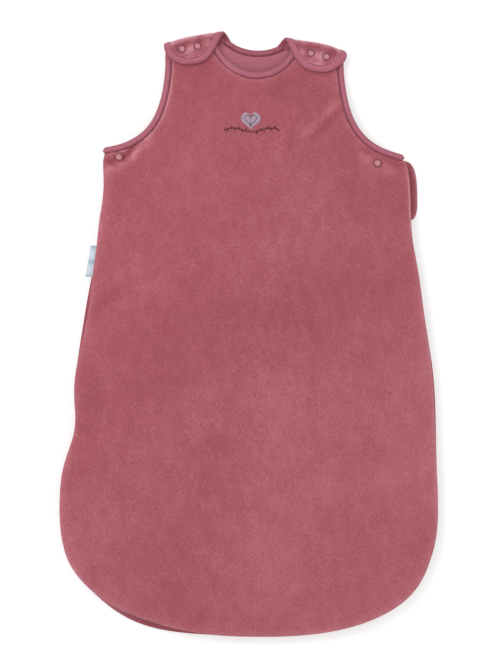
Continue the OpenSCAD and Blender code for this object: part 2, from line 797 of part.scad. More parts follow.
guard_t = 3;
guard_gap = 0.3;
guard_y = zip_top_y + 6 - guard_l / 2;
module zip_guard() {
    p = lay_side(guard_y);
    color(velvet) translate([p.x + guard_gap, p.y, guard_gap])
        rotate([0, 0, atan2(-zip_up.x, zip_up.y)])
        linear_extrude(guard_t)
        polygon(concat(
            [[0, -guard_l / 2]],
            curve([
                [guard_out * 0.6, -guard_l / 2], [guard_out * 1.1, -guard_l / 2],
                [guard_out, -guard_l * 0.3], [guard_out, -guard_l * 0.2]
            ], 6),
            curve([
                [guard_out, guard_l * 0.25], [guard_out, guard_l * 0.4],
                [guard_out * 0.8, guard_l / 2], [guard_out * 0.2, guard_l / 2]
            ], 6),
            [[0, guard_l / 2]]
        ));
}

label_t = 1;
label_y = 84;
label_z = band_z1 - 2.4;
module side_label() {
    p = lay([-side_x(label_y), label_y]);
    way = left_side_up[5] - left_side_up[4];
    color(label_blue) translate([p.x, p.y, label_z])
        rotate([0, 0, atan2(-way.x, way.y)])
        translate([-label_out, -label_l / 2, 0])
        cube([label_out + gusset_in - 0.1, label_l, label_t]);
}

motif_y = 245;
motif_t = 0.5;
motif_lift = 0.3;
function heart(t) = motif_w / 32 * [
    16 * pow(sin(t), 3),
    13 * cos(t) - 5 * cos(2 * t) - 2 * cos(3 * t) - cos(4 * t)
];
module embroidery() {
    c = lay([-4.5, motif_y]);
    rim = [for (i = [0:23]) c + heart(360 * i / 24)];
    spots = concat([c], rim);
    z = [for (p = spots) front_high(p, swelling(p)) + motif_lift];
    n = len(rim);
    color(thread) polyhedron(
        points = concat(
            [for (i = [0:n]) [spots[i].x, spots[i].y, z[i]]],
            [for (i = [0:n]) [spots[i].x, spots[i].y, z[i] + motif_t]]
        ),
        faces = [
            for (i = [0:n - 1])
                let(a = 1 + i, b = 1 + (i + 1) % n, top = n + 1)
                for (f = [[0, b, a], [top, a + top, b + top], [a, b, b + top], [a, b + top, a + top]]) f
        ]
    );
}

back_shell();
back_wadding();
back_lining();
back_neck_binding();
left_back_armhole_binding();
right_back_armhole_binding();
front_shell();
front_wadding();
front_lining();
front_neck_binding();
left_armhole_binding();
right_armhole_binding();
flap_shell();
flap_wadding();
flap_lining();
left_shoulder_fold();
right_shoulder_fold();
left_tab_shell();
left_tab_wadding();
left_tab_lining();
left_tab_binding();
right_tab_shell();
right_tab_wadding();
right_tab_lining();
right_tab_binding();
left_tab_caps();
right_tab_caps();
left_tab_sockets();
right_tab_sockets();
left_strap_studs();
right_strap_studs();
underarm_caps();
underarm_sockets();
underarm_studs();
side_gusset();
zip_tape_back();
zip_tape_front();
zip_tape_top();
zip_chain_back();
zip_chain_front();
zip_chain_top();
zip_top_stop();
zip_end_stop();
zip_slider();
zip_pull();
zip_guard();
side_label();
embroidery();
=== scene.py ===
# %% [markdown]
# # A baby's padded sleeping bag
# The bag lies on its back, zipped and buttoned. The frame that is loaded here already holds its
# exact sizes and its moving bodies, so each piece below is made in that frame, in metres, and many
# of them ride on a body.

# %% Load the frame and keep its box
import bpy
import math
import numpy as np
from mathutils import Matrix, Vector, noise


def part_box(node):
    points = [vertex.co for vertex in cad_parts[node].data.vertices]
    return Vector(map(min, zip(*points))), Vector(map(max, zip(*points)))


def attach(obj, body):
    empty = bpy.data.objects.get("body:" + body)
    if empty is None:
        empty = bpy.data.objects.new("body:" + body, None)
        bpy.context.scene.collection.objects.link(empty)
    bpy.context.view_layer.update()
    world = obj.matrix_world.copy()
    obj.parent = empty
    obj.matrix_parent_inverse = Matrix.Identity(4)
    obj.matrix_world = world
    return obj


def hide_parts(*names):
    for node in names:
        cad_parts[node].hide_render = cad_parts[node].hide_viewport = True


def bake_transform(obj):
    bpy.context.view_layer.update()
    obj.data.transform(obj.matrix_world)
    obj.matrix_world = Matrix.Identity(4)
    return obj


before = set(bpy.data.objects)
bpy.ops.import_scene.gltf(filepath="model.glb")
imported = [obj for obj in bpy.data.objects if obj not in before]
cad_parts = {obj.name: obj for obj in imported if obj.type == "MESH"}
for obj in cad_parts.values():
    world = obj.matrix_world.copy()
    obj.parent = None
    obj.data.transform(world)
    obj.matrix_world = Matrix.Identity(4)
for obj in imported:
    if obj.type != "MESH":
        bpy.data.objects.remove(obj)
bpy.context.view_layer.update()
MM = 0.001

# %% [markdown]
# ## Helpers
# Every operator acts on what is selected, so each new piece starts from an empty selection.
# Soft pieces start as a flat grid with two layers. The grid can be stretched over any outline, and
# its map of where each point came from (its UV map) stays with it, which a knit or weave needs.

# %% Start, apply and finish a piece
def start_fresh():
    if bpy.context.object and bpy.context.object.mode != "OBJECT":
        bpy.ops.object.mode_set(mode="OBJECT")
    bpy.ops.object.select_all(action="DESELECT")


def only(piece):
    start_fresh()
    piece.select_set(True)
    bpy.context.view_layer.objects.active = piece
    return piece


def named(name):
    piece = bpy.context.object
    piece.name = name
    piece.data.name = name
    return piece


def modify(piece, kind, **settings):
    only(piece)
    step = piece.modifiers.new(kind.lower(), kind)
    for key, value in settings.items():
        setattr(step, key, value)
    bpy.ops.object.modifier_apply(modifier=step.name)


def settle(piece, angle=60):
    """Puts the object's place into its mesh and smooths its shading up to a crease."""
    only(piece)
    bpy.ops.object.transform_apply(location=True, rotation=True, scale=True)
    bpy.ops.object.shade_smooth_by_angle(angle=math.radians(angle))
    return piece


def mesh_edit(piece, *steps):
    """Runs edit-mode operators on a whole piece."""
    only(piece)
    bpy.ops.object.mode_set(mode="EDIT")
    bpy.ops.mesh.select_all(action="SELECT")
    for step, settings in steps:
        step(**settings)
    bpy.ops.object.mode_set(mode="OBJECT")


def turn_faces_out(piece):
    mesh_edit(piece, (bpy.ops.mesh.normals_make_consistent, dict(inside=False)))


def joined(name, pieces):
    start_fresh()
    for piece in pieces:
        piece.select_set(True)
    bpy.context.view_layer.objects.active = pieces[0]
    bpy.ops.object.join()
    return named(name)


# %% Grids that are shaped by a rule
def one_layer(name, across, up):
    start_fresh()
    bpy.ops.mesh.primitive_grid_add(x_subdivisions=across, y_subdivisions=up, size=2)
    return named(name)


def two_layers(name, across, up):
    piece = one_layer(name, across, up)
    modify(piece, "SOLIDIFY", thickness=0.5, offset=0)
    return piece


def read_points(piece):
    flat = np.empty(3 * len(piece.data.vertices))
    piece.data.vertices.foreach_get("co", flat)
    return flat.reshape(-1, 3)


def write_points(piece, points):
    piece.data.vertices.foreach_set("co", points.ravel())
    piece.data.update()


def mark(piece, values):
    """Keeps a painted light value for each point on the mesh; its finish lightens or darkens its
    colour by it.
    """
    store = piece.data.attributes.new("painted_light", "FLOAT", "POINT")
    store.data.foreach_set("value", values.astype(np.float32))


def shape(piece, rule, size):
    """rule(u, v, top) gives each point's place in mm, and may add a painted light value for its
    finish to read.

    size is the width and length of the cloth's map, in mm."""
    flat = read_points(piece)
    made = rule((flat[:, 0] + 1) / 2, (flat[:, 1] + 1) / 2, flat[:, 2] > 0)
    points, values = made if isinstance(made, tuple) else (made, None)
    write_points(piece, MM * points)
    if values is not None:
        mark(piece, values)
    for corner in piece.data.uv_layers[0].data:
        corner.uv = (corner.uv[0] * size[0] * MM, corner.uv[1] * size[1] * MM)
    return piece


def crowded(t, share=0.75):
    """Spreads grid lines closer together at both ends, where a padded edge turns over."""
    return t - share * np.sin(2 * math.pi * t) / (2 * math.pi)


def bell(away, width):
    """1 where away is 0, fading to almost nothing within twice the width."""
    return np.exp(-((away / width) ** 2))


def rounded(distance, reach, least=0.0):
    """Rises like a quarter circle, from least at an edge to 1 where distance gets to reach."""
    return np.maximum(np.sqrt(1 - (1 - np.clip(distance / reach, 0, 1)) ** 2), least)


# %% Dress a piece and tie it to the frame
def wear_material(piece, material):
    piece.data.materials.clear()
    piece.data.materials.append(material)
    return piece


def dressed(piece, material, body=None, stands_for=()):
    """Gives a piece its finish in its material slot, hides the CAD nodes it stands for and ties it
    to the body it moves with.
    """
    wear_material(piece, material)
    if stands_for:
        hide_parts(*stands_for)
    if body:
        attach(piece, body)
    return piece


# %% [markdown]
# ## The bag's outline
# The outline is drawn from a few sizes, in millimetres: a rounded hem, sides that narrow to the
# chest, armholes, a scooped neck and slanting shoulders. The bag doesn't lie quite straight, so
# `lay` leans the chest to one side, as the frame does.

# %% Sizes in millimetres
BAG_LENGTH, HEM_W, CHEST_W = 700, 438, 341
WIDEST_UP, HEM_POWER = 155, 2.6
LEAN, HEM_LEAN, SLANT, SHOULDER_SLIP = 6.5, 5.5, 0.025, 5
SHOULDER_W, NECK_W, ARMHOLE_DEPTH, SHOULDER_FALL = 210, 67, 125, 14.3
FRONT_NECK_DROP, BACK_NECK_DROP = 48, 21
BINDING_W, TAB_DEPTH = 6.5, 31
BACK_EDGE, BACK_LOFT = 4, 6
FRONT_EDGE_Z, FRONT_RISE, FRONT_EDGE, FRONT_LOFT, SWELL = 15, 9, 4, 6, 48
STRAP_Z, FOLD_R = 5.2, 7
SIDE_CURVE, FOLD_IN, ZIP_INSET, FOLD_DROP, ZIP_END_ANGLE = 170, 3, 6, 54, 37

hem_y = -BAG_LENGTH / 2
widest_y = hem_y + WIDEST_UP
knee_y = widest_y + SIDE_CURVE
neck_x = NECK_W / 2
shoulder_run = SHOULDER_W / 2 - neck_x
shoulder_dip = SHOULDER_FALL - SLANT * shoulder_run
fold_slip = FOLD_IN * shoulder_dip / math.hypot(shoulder_run, shoulder_dip)
neck_y = BAG_LENGTH / 2 - SLANT * neck_x + fold_slip
arm_y = neck_y - SHOULDER_FALL - ARMHOLE_DEPTH
side_bow = (HEM_W / 2 - CHEST_W / 2) / (1 + 2 * (arm_y - knee_y) / SIDE_CURVE)


# %% Curves and the way the bag lies
def mix(a, b, t):
    return a + (b - a) * t


def smooth(t):
    s = np.clip(t, 0, 1)
    return s * s * (3 - 2 * s)


def lay(points):
    x, y = np.asarray(points, float).reshape(-1, 2).T
    across = x + LEAN * smooth((y - widest_y - 40) / (SIDE_CURVE - 40))
    across = across + HEM_LEAN * smooth((widest_y - 60 - y) / 60)
    return np.column_stack([across, y - SLANT * x * smooth((y - 100) / 100)])


def hem_point(angle):
    c, s = np.cos(np.radians(angle)), np.sin(np.radians(angle))
    e = 2 / HEM_POWER
    return np.column_stack(
        [HEM_W / 2 * np.sign(c) * abs(c) ** e, widest_y + WIDEST_UP * np.sign(s) * abs(s) ** e]
    )


def side_points(y0, y1, steps=40):
    y = np.linspace(y0, y1, steps)
    low = HEM_W / 2 - side_bow * ((y - widest_y) / SIDE_CURVE) ** 2
    high = HEM_W / 2 - side_bow - 2 * side_bow / SIDE_CURVE * (y - knee_y)
    return np.column_stack([np.where(y < knee_y, low, high), y])


def flipped(points):
    return points * [-1, 1]


def bezier(corners, steps=40):
    t = np.linspace(0, 1, steps)[:, None]
    a, b, c, d = (np.asarray(p, float) for p in corners)
    return (1 - t) ** 3 * a + 3 * (1 - t) ** 2 * t * b + 3 * (1 - t) * t * t * c + t**3 * d


def unit(ways):
    return ways / np.linalg.norm(ways, axis=1)[:, None]


def leftward(ways):
    return np.column_stack([-ways[:, 1], ways[:, 0]])


def shifted(points, distance):
    """Moves each point of an open line to its left."""
    return points + distance * leftward(unit(np.gradient(points, axis=0)))


def run(points, t):
    """The places at shares t of a line's length."""
    points = np.asarray(points, float)
    length = np.concatenate([[0], np.cumsum(np.linalg.norm(np.diff(points, axis=0), axis=1))])
    return np.column_stack([np.interp(t * length[-1], length, axis) for axis in points.T])


def heading(points, t, step=0.004):
    """The way a line runs at shares t of its length."""
    return unit(run(points, np.minimum(t + step, 1)) - run(points, np.maximum(t - step, 0)))


def length_of(points):
    return float(np.linalg.norm(np.diff(points, axis=0), axis=1).sum())


def chain_of(lines, breaks, t):
    """One run over several lines, each with its own share of t."""
    found = np.zeros((len(t), 2))
    for line, start, end in zip(lines, [0, *breaks], [*breaks, 1]):
        inside = (t >= start) & (t <= end)
        found[inside] = run(line, (t[inside] - start) / (end - start))
    return found


# %% Shoulders, armholes and necklines
class Shoulder:
    """One shoulder's fold: u runs out along it from the neck and v down the chest from it."""

    def __init__(self, side):
        self.side = side
        slip = [0, SHOULDER_SLIP if side > 0 else 0]
        start = lay([side * neck_x, neck_y])[0] - slip
        end = lay([side * SHOULDER_W / 2, neck_y - SHOULDER_FALL])[0] - slip
        self.start = start
        self.length = float(np.linalg.norm(end - start))
        self.way = (end - start) / self.length
        self.down = side * np.array([self.way[1], -self.way[0]])

    def at(self, u, v):
        u, v = np.atleast_1d(u).astype(float), np.atleast_1d(v).astype(float)
        return self.start + u[:, None] * self.way + v[:, None] * self.down


left, right = Shoulder(-1), Shoulder(1)
shoulder_out_x = SHOULDER_W / 2
armhole = bezier([
    [CHEST_W / 2, arm_y],
    [mix(shoulder_out_x, CHEST_W / 2, 0.22), arm_y + 0.1 * ARMHOLE_DEPTH],
    [shoulder_out_x - 0.5, arm_y + 0.32 * ARMHOLE_DEPTH],
    [shoulder_out_x - 2.7, arm_y + 0.9 * ARMHOLE_DEPTH],
])
strap_end_v = FOLD_R + 4
left_arm = np.vstack([lay(flipped(armhole))[:-3], left.at(left.length, strap_end_v)])
right_arm = np.vstack([lay(armhole)[:-3], right.at(right.length, strap_end_v)])


def neckline(start, end, low_y):
    steer = (8 * low_y - start[1] - end[1]) / 6
    reach = end[0] - start[0]
    out, back = start[0] + 0.27 * reach, end[0] - 0.25 * reach
    return bezier([start, [out, steer], [back, steer], end], 60)


def neck_between(u, v, drop):
    return neckline(left.at(u, v)[0], right.at(u, v)[0], neck_y - drop)


front_neck = neck_between(14, strap_end_v, FRONT_NECK_DROP)
back_neck = neck_between(1, FOLD_R, BACK_NECK_DROP)
whole_hem = lay(hem_point(np.linspace(-180, 0, 90)))
right_side = lay(side_points(widest_y, arm_y, 60))
left_side = lay(flipped(side_points(widest_y, arm_y, 60)))
outline = np.vstack([
    whole_hem, right_side[1:], shifted(right_arm, BINDING_W)[1:],
    shifted(front_neck, -BINDING_W)[::-1], shifted(left_arm, -BINDING_W)[::-1], left_side[::-1][1:],
])
print("shoulders:", round(left.length, 1), round(right.length, 1), "mm long")


# %% Heights of the swelling panels
def edge_distance(points):
    a, b = outline, np.roll(outline, -1, axis=0)
    ab = b - a
    share = ((points[:, None] - a) * ab).sum(2) / np.maximum((ab * ab).sum(1), 1e-9)
    near = a + np.clip(share, 0, 1)[..., None] * ab
    return np.linalg.norm(points[:, None] - near, axis=2).min(1)


def strapped(points):
    x, y = points.T
    return smooth((y - arm_y - 38) / 55) * smooth((abs(x - LEAN) - 14) / 24)


def front_heights(points):
    """The underside and the top of the front panel, and how far it swells, over plan points."""
    swell = 1 - np.exp(-edge_distance(points) / SWELL)
    held = strapped(points)
    low = mix(FRONT_EDGE_Z + FRONT_RISE * swell, STRAP_Z, held)
    return low, low + FRONT_EDGE + FRONT_LOFT * swell * (1 - held), swell


def back_height(points):
    swell = 1 - np.exp(-edge_distance(points) / SWELL)
    return BACK_EDGE + BACK_LOFT * swell * (1 - smooth((points[:, 1] - arm_y + 10) / 80))


def bumps(points, size, seed):
    """Slow, repeatable unevenness from -1 to 1, with waves about size mm across."""
    return np.array([noise.noise(Vector((x / size, y / size, seed))) for x, y in points])


# Each pull: its place, how far it reaches across and along, and the push, all in mm.
PULLS = {
    "both": [
        ((-214, -110), 70, 40, (12, 0)), ((-178, 97), 60, 42, (3.0, 0)),
        ((190, 110), 60, 30, (-2.2, 0)), ((-195, 30), 60, 130, (1.7, 0)),
        ((205, 20), 60, 120, (-1.9, 0)), ((186, 188), 26, 40, (4.6, 0)),
        ((-172, 158), 34, 26, (2.6, 0)), ((-166, 200), 18, 16, (-2.4, 1.6)),
    ],
    "front": [
        ((-192, 22), 50, 48, (4.4, 0)), ((214, -70), 50, 110, (-2.2, 0)),
        ((-120, -335), 75, 45, (1.5, 4.2)),
    ],
    "back": [((-125, -335), 60, 40, (-1.5, -3.0))],
    "zip": [((-125, -335), 60, 40, (-0.6, -1.6))],
}


def pulled(points, *layers):
    """Wadding draws the edges of the bag in at some places and pushes them out at others."""
    moved = points.copy()
    for layer in layers:
        for place, across, along, push in PULLS[layer]:
            away = (points - place) / (across, along)
            moved += np.exp(-(away**2).sum(1))[:, None] * np.array(push)
    return moved


def crease(points, start, end, width):
    """1 on the line from start to end, fading to 0 within about width mm."""
    start, end = np.array(start, float), np.array(end, float)
    ab = end - start
    t = np.clip(((points - start) @ ab) / (ab @ ab), 0, 1)
    away = np.linalg.norm(points - (start + t[:, None] * ab), axis=1)
    return bell(away, width) * np.sin(math.pi * np.clip(0.08 + 0.84 * t, 0, 1))


def fold(points, start, end, width):
    """A fold that rises on the line's left and sinks on its right, as shares from 1 to -1."""
    start, end = np.array(start, float), np.array(end, float)
    length = np.linalg.norm(end - start)
    way = (end - start) / length
    along = (points - start) @ way
    inside = smooth((along + width) / (2 * width)) * smooth((length + width - along) / (2 * width))
    off = ((points - start) @ np.array([-way[1], way[0]])) / width
    return inside * (bell(off - 0.9, 1) - bell(off + 0.6, 0.7))


# %% [markdown]
# ## Fabrics and finishes
# Velvet is a short, dense pile. It is darker where one looks into it and lighter at its edges,
# which is sheen, and its colour is mottled where the pile leans different ways. Highlight and shade
# are also painted into its colour from a value kept on each mesh. The other cloths are knits and
# weaves, whose threads follow each piece's own UV map, in metres.

# %% Material helpers
def shade(r, g, b):
    """A colour written as 0 to 255, as the shader wants it."""
    def line(c):
        c = c / 255
        return c / 12.92 if c <= 0.04045 else ((c + 0.055) / 1.055) ** 2.4
    return (line(r), line(g), line(b), 1)


class Finish:
    """A material with a few short ways to add nodes.

    Its sockets are set by name, with _ for a space."""

    def __init__(self, name, roughness=0.8, **sockets):
        self.material = bpy.data.materials.new(name)
        self.material.use_nodes = True
        self.nodes = self.material.node_tree.nodes
        self.links = self.material.node_tree.links
        self.shader = self.nodes["Principled BSDF"]
        self.shader.inputs["Roughness"].default_value = roughness
        for key, value in sockets.items():
            self.shader.inputs[key.replace("_", " ")].default_value = value
        place = self.nodes.new("ShaderNodeTexCoord")
        self.object, self.uv = place.outputs["Object"], place.outputs["UV"]

    def link(self, a, b):
        self.links.new(a, b)
        return b

    def add(self, kind, **settings):
        node = self.nodes.new(kind)
        for key, value in settings.items():
            if key in node.inputs:
                node.inputs[key].default_value = value
            else:
                setattr(node, key, value)
        return node

    def stretched(self, source, scale, turn=0):
        node = self.add("ShaderNodeMapping")
        node.inputs["Scale"].default_value = scale
        node.inputs["Rotation"].default_value = (0, 0, math.radians(turn))
        self.link(source, node.inputs["Vector"])
        return node.outputs[0]

    def noise(self, source, scale, detail=3, roughness=0.6):
        node = self.add("ShaderNodeTexNoise", Scale=scale, Detail=detail, Roughness=roughness)
        self.link(source, node.inputs["Vector"])
        return node.outputs["Fac"]

    def bands(self, source, pitch_mm, direction, distortion=0.0):
        """Soft bands, one every pitch_mm. The wave node makes 20 of them in a turn of 2 pi."""
        scale = 2 * math.pi / 20 / (pitch_mm * MM)
        node = self.add("ShaderNodeTexWave", Scale=scale, Distortion=distortion)
        node.bands_direction = direction
        self.link(source, node.inputs["Vector"])
        return node.outputs["Fac"]

    def painted_light(self):
        """The painted light value that mark() kept on the mesh."""
        return self.add("ShaderNodeAttribute", attribute_name="painted_light").outputs["Fac"]

    def sum_of(self, *shares):
        """Adds outputs, each times its own weight."""
        total = None
        for output, weight in shares:
            node = self.add("ShaderNodeMath", operation="MULTIPLY_ADD")
            self.link(output, node.inputs[0])
            node.inputs[1].default_value = weight
            if total is not None:
                self.link(total, node.inputs[2])
            else:
                node.inputs[2].default_value = 0
            total = node.outputs[0]
        return total

    def colours(self, value, *stops):
        """Each stop is a place on the ramp and a colour written as 0 to 255."""
        ramp = self.add("ShaderNodeValToRGB")
        steps = ramp.color_ramp.elements
        while len(steps) < len(stops):
            steps.new(0.5)
        for step, (place, colour) in zip(steps, stops):
            step.position, step.color = place, shade(*colour)
        self.link(value, ramp.inputs["Fac"])
        self.link(ramp.outputs["Color"], self.shader.inputs["Base Color"])

    def rough(self, value, low, high):
        node = self.add("ShaderNodeMapRange")
        node.inputs["To Min"].default_value = low
        node.inputs["To Max"].default_value = high
        self.link(value, node.inputs["Value"])
        self.link(node.outputs[0], self.shader.inputs["Roughness"])

    def bump(self, value, depth_mm, strength=0.6):
        node = self.add("ShaderNodeBump", Strength=strength, Distance=depth_mm * MM)
        self.link(value, node.inputs["Height"])
        self.link(node.outputs["Normal"], self.shader.inputs["Normal"])


# %% Velvet and jersey
def velvet_finish(name, dark, mid, light, edge, painted_light_weight=0.16):
    f = Finish(
        name, roughness=0.92, Sheen_Weight=0.6, Sheen_Roughness=0.34,
        Sheen_Tint=shade(255, 212, 218), Specular_IOR_Level=0.15,
    )
    cloud = f.noise(f.object, 7, 2)
    leaning = f.noise(f.stretched(f.object, (70, 42, 70), 12), 1, 3, 0.6)
    mottle = f.noise(f.stretched(f.object, (430, 320, 430), -8), 1, 3, 0.7)
    grain = f.noise(f.object, 1500, 2)
    split = f.add("ShaderNodeSeparateXYZ")
    f.link(f.object, split.inputs[0])
    lower = f.add("ShaderNodeMapRange")
    lower.inputs["From Min"].default_value, lower.inputs["From Max"].default_value = 0.02, -0.16
    f.link(split.outputs["Y"], lower.inputs["Value"])
    # The mesh's painted light value lifts the tone towards the pale edge stop, which is painted
    # highlight, and lowers it for painted shade.
    tone = f.sum_of(
        (cloud, 0.24), (leaning, 0.18), (mottle, 0.36), (grain, 0.22),
        (lower.outputs[0], 0.035), (f.painted_light(), painted_light_weight),
    )
    f.colours(tone, (0.36, dark), (0.5, mid), (0.64, light), (0.75, edge))
    f.bump(f.sum_of((grain, 0.5), (mottle, 0.5)), 0.6)
    return f.material


def knit_finish(name, dark, light, pitch=1.1, sheen=0.15):
    """Stocking stitch: fine ribs along the piece, crossed by its rows."""
    f = Finish(
        name, roughness=0.88, Sheen_Weight=sheen, Sheen_Roughness=0.5, Specular_IOR_Level=0.2,
    )
    ribs = f.bands(f.uv, pitch, "X", 0.6)
    rows = f.bands(f.uv, pitch / 1.3, "Y", 0.8)
    fuzz = f.noise(f.object, 700, 3)
    cloud = f.noise(f.object, 22, 3)
    # The mesh's painted light value lightens the top of each tube and darkens its sides: painted
    # highlight and shade.
    tone = f.sum_of((ribs, 0.16), (rows, 0.1), (fuzz, 0.34), (cloud, 0.4), (f.painted_light(), 0.2))
    f.colours(tone, (0.3, dark), (0.7, light))
    f.bump(f.sum_of((ribs, 0.5), (rows, 0.3), (fuzz, 0.4)), 0.25)
    return f.material


velvet = velvet_finish(
    "velvet", (151, 74, 83), (169, 89, 98), (187, 110, 120), (204, 136, 147),
)
# A lighter copy of the velvet for the tabs: painted highlight, with stronger nap contrast.
lit_tab_velvet = velvet_finish(
    "lit_tab_velvet", (148, 76, 87), (174, 101, 111), (198, 132, 143),
    (214, 156, 166), painted_light_weight=0.2,
)
jersey = knit_finish("jersey", (176, 99, 116), (200, 124, 140))
edging = knit_finish("edging", (158, 84, 100), (184, 108, 125), pitch=0.9, sheen=0.3)
neck_band = knit_finish("neck_band", (146, 73, 87), (176, 102, 117), pitch=0.9)
# Dark knit for the cords that paint the shadow in the grooves beside the bindings.
groove_shadow_paint = knit_finish("groove_shadow_paint", (124, 56, 68), (152, 80, 92), pitch=0.9)
print("cloths:", velvet.name, jersey.name, edging.name, neck_band.name)


# %% Zip tape, coil, painted metal, label and threads
def weave_finish(name, dark, light, pitch=0.7):
    f = Finish(name, roughness=0.85, Sheen_Weight=0.1)
    twill = f.bands(f.stretched(f.uv, (1, 1, 1), 40), pitch, "X", 0.2)
    fuzz = f.noise(f.object, 900, 2)
    tone = f.sum_of((twill, 0.5), (fuzz, 0.5))
    f.colours(tone, (0.25, dark), (0.75, light))
    f.bump(tone, 0.15, 0.5)
    return f.material


def enamel_finish(name, dark, light, roughness=0.34, metal=0.0):
    f = Finish(
        name, roughness=roughness, Metallic=metal, Coat_Weight=0.35, Coat_Roughness=0.2,
    )
    f.colours(f.noise(f.object, 320, 4), (0.3, dark), (0.7, light))
    f.rough(f.noise(f.object, 900, 3), roughness - 0.06, roughness + 0.14)
    f.bump(f.noise(f.object, 1600, 2), 0.03, 0.3)
    return f.material


zip_tape = weave_finish("zip_tape", (118, 70, 66), (150, 96, 88))
zip_coil = enamel_finish("zip_coil", (150, 82, 92), (168, 98, 108), 0.42)
zip_metal = enamel_finish("zip_metal", (168, 102, 112), (186, 122, 130), 0.38, 0.2)
stud_metal = enamel_finish("stud_metal", (190, 116, 127), (212, 142, 151), 0.3, 0.1)
# Dark enamel for the rolled rims round the caps: painted shadow of the pressed pile.
stud_rim_shadow = enamel_finish("stud_rim_shadow", (122, 56, 69), (150, 80, 93), 0.34, 0.1)
thread = knit_finish("thread", (104, 42, 56), (132, 60, 76), pitch=0.5)
pale_thread = knit_finish(
    "pale_thread", (176, 146, 168), (214, 192, 208), pitch=0.35, sheen=0.4,
)
dark_thread = knit_finish("dark_thread", (70, 26, 38), (98, 40, 54), pitch=0.35)


def label_finish():
    """Satin weave in pale blue-grey with a woven stripe along each edge."""
    f = Finish("woven_label", roughness=0.7, Sheen_Weight=0.2)
    stripes = f.bands(f.uv, 17, "Y")
    fine = f.bands(f.uv, 0.6, "X", 0.2)
    f.colours(
        f.sum_of((stripes, 0.7), (fine, 0.3)),
        (0.12, (150, 176, 186)), (0.24, (196, 212, 222)), (0.8, (214, 226, 236)),
    )
    f.bump(fine, 0.1, 0.5)
    return f.material


label_weave = label_finish()


# %% [markdown]
# ## Camera, lamps and floor
# The bag is seen from straight above. A long lens from three metres up keeps the outline free of
# perspective. The light is a bright, even sky with one broad soft lamp from the upper left, so
# that colours come out about as they are written. The floor is pale and keeps a faint shadow.

# %% Set up the view
VIEW_HEIGHT, VIEW_LEVEL, CAMERA_UP, SENSOR = 0.7727, 0.017, 3.0, 36
bpy.ops.object.camera_add(location=(0.0012, -0.0006, VIEW_LEVEL + CAMERA_UP), rotation=(0, 0, 0))
camera = bpy.context.object
camera.data.sensor_width = SENSOR
camera.data.lens = SENSOR * CAMERA_UP / VIEW_HEIGHT
camera.data.clip_end = 50
bpy.context.scene.camera = camera
bpy.context.scene.view_settings.view_transform = "Standard"


def soft_lamp(name, place, size, power):
    bpy.ops.object.light_add(type="AREA", location=place)
    lamp = bpy.context.object
    lamp.name = name
    lamp.data.shape = "DISK"
    lamp.data.size, lamp.data.energy = size, power
    lamp.rotation_euler = (-Vector(place)).to_track_quat("-Z", "Y").to_euler()
    return lamp


soft_lamp("key_lamp", (-1.1, 1.0, 1.9), 1.5, 17)
soft_lamp("fill_lamp", (1.3, -0.9, 2.1), 2.0, 6)

sky = bpy.data.worlds.new("sky")
sky.use_nodes = True
bpy.context.scene.world = sky
background = sky.node_tree.nodes["Background"]
background.inputs["Color"].default_value = (1, 1, 1, 1)
background.inputs["Strength"].default_value = 0.72

# %% Pale floor
FLOOR_UNDER = 0.0008
start_fresh()
bpy.ops.mesh.primitive_plane_add(size=12, location=(0, 0, -FLOOR_UNDER))
floor = named("floor")
paper = Finish(
    "floor_paper", roughness=0.9, Base_Color=(0.8, 0.8, 0.8, 1), Specular_IOR_Level=0.1,
    Emission_Color=(1, 1, 1, 1),
)
rays = paper.add("ShaderNodeLightPath")
seen = paper.add("ShaderNodeMath", operation="MAXIMUM")
paper.link(rays.outputs["Is Camera Ray"], seen.inputs[0])
paper.link(rays.outputs["Is Glossy Ray"], seen.inputs[1])
lift = paper.add("ShaderNodeMath", operation="MULTIPLY")
paper.link(seen.outputs[0], lift.inputs[0])
lift.inputs[1].default_value = 0.4
paper.link(lift.outputs[0], paper.shader.inputs["Emission Strength"])
wear_material(floor, paper.material)
print("camera looks down from", CAMERA_UP, "m; the floor is the stage")

# %% [markdown]
# ## The padded front
# The front is velvet over wadding, sewn to its lining along the edge, so it swells between its
# seams and pinches at them. One closed grid is stretched between the hem, the two sides and the
# top edge. Grid lines are crowded at the edges, where the fabric turns over.

# %% Edges of the front panel
# How far the cloth reaches in under a binding, in mm.
SEAM_UNDER = 2.5
# Shares of the grid where the sides turn into hem and armhole, and the top edge into straps.
HEM_SHARE, ARM_START_V, STRAP_SHARE = 0.15, 0.6, 0.16
# Where the hem's corners are, in degrees.
HEM_CORNER = 48
panel_arm_y = arm_y - 1.15 * BINDING_W


def side_edge(mirror):
    turn = flipped if mirror else (lambda p: p)
    hem = lay(turn(hem_point(np.linspace(-HEM_CORNER, 0, 24))))
    side = lay(turn(side_points(widest_y, panel_arm_y, 60)))
    return hem, side


left_hem_edge, left_side_edge = side_edge(True)
right_hem_edge, right_side_edge = side_edge(False)
left_arm_edge = shifted(left_arm, SEAM_UNDER - BINDING_W)
right_arm_edge = shifted(right_arm, BINDING_W - SEAM_UNDER)
neck_edge = shifted(front_neck, SEAM_UNDER - BINDING_W)
left_arm_edge = np.vstack([left_side_edge[-1:], left_arm_edge[4:]])
right_arm_edge = np.vstack([right_side_edge[-1:], right_arm_edge[4:]])
hem_edge = lay(hem_point(np.linspace(HEM_CORNER - 180, -HEM_CORNER, 60)))


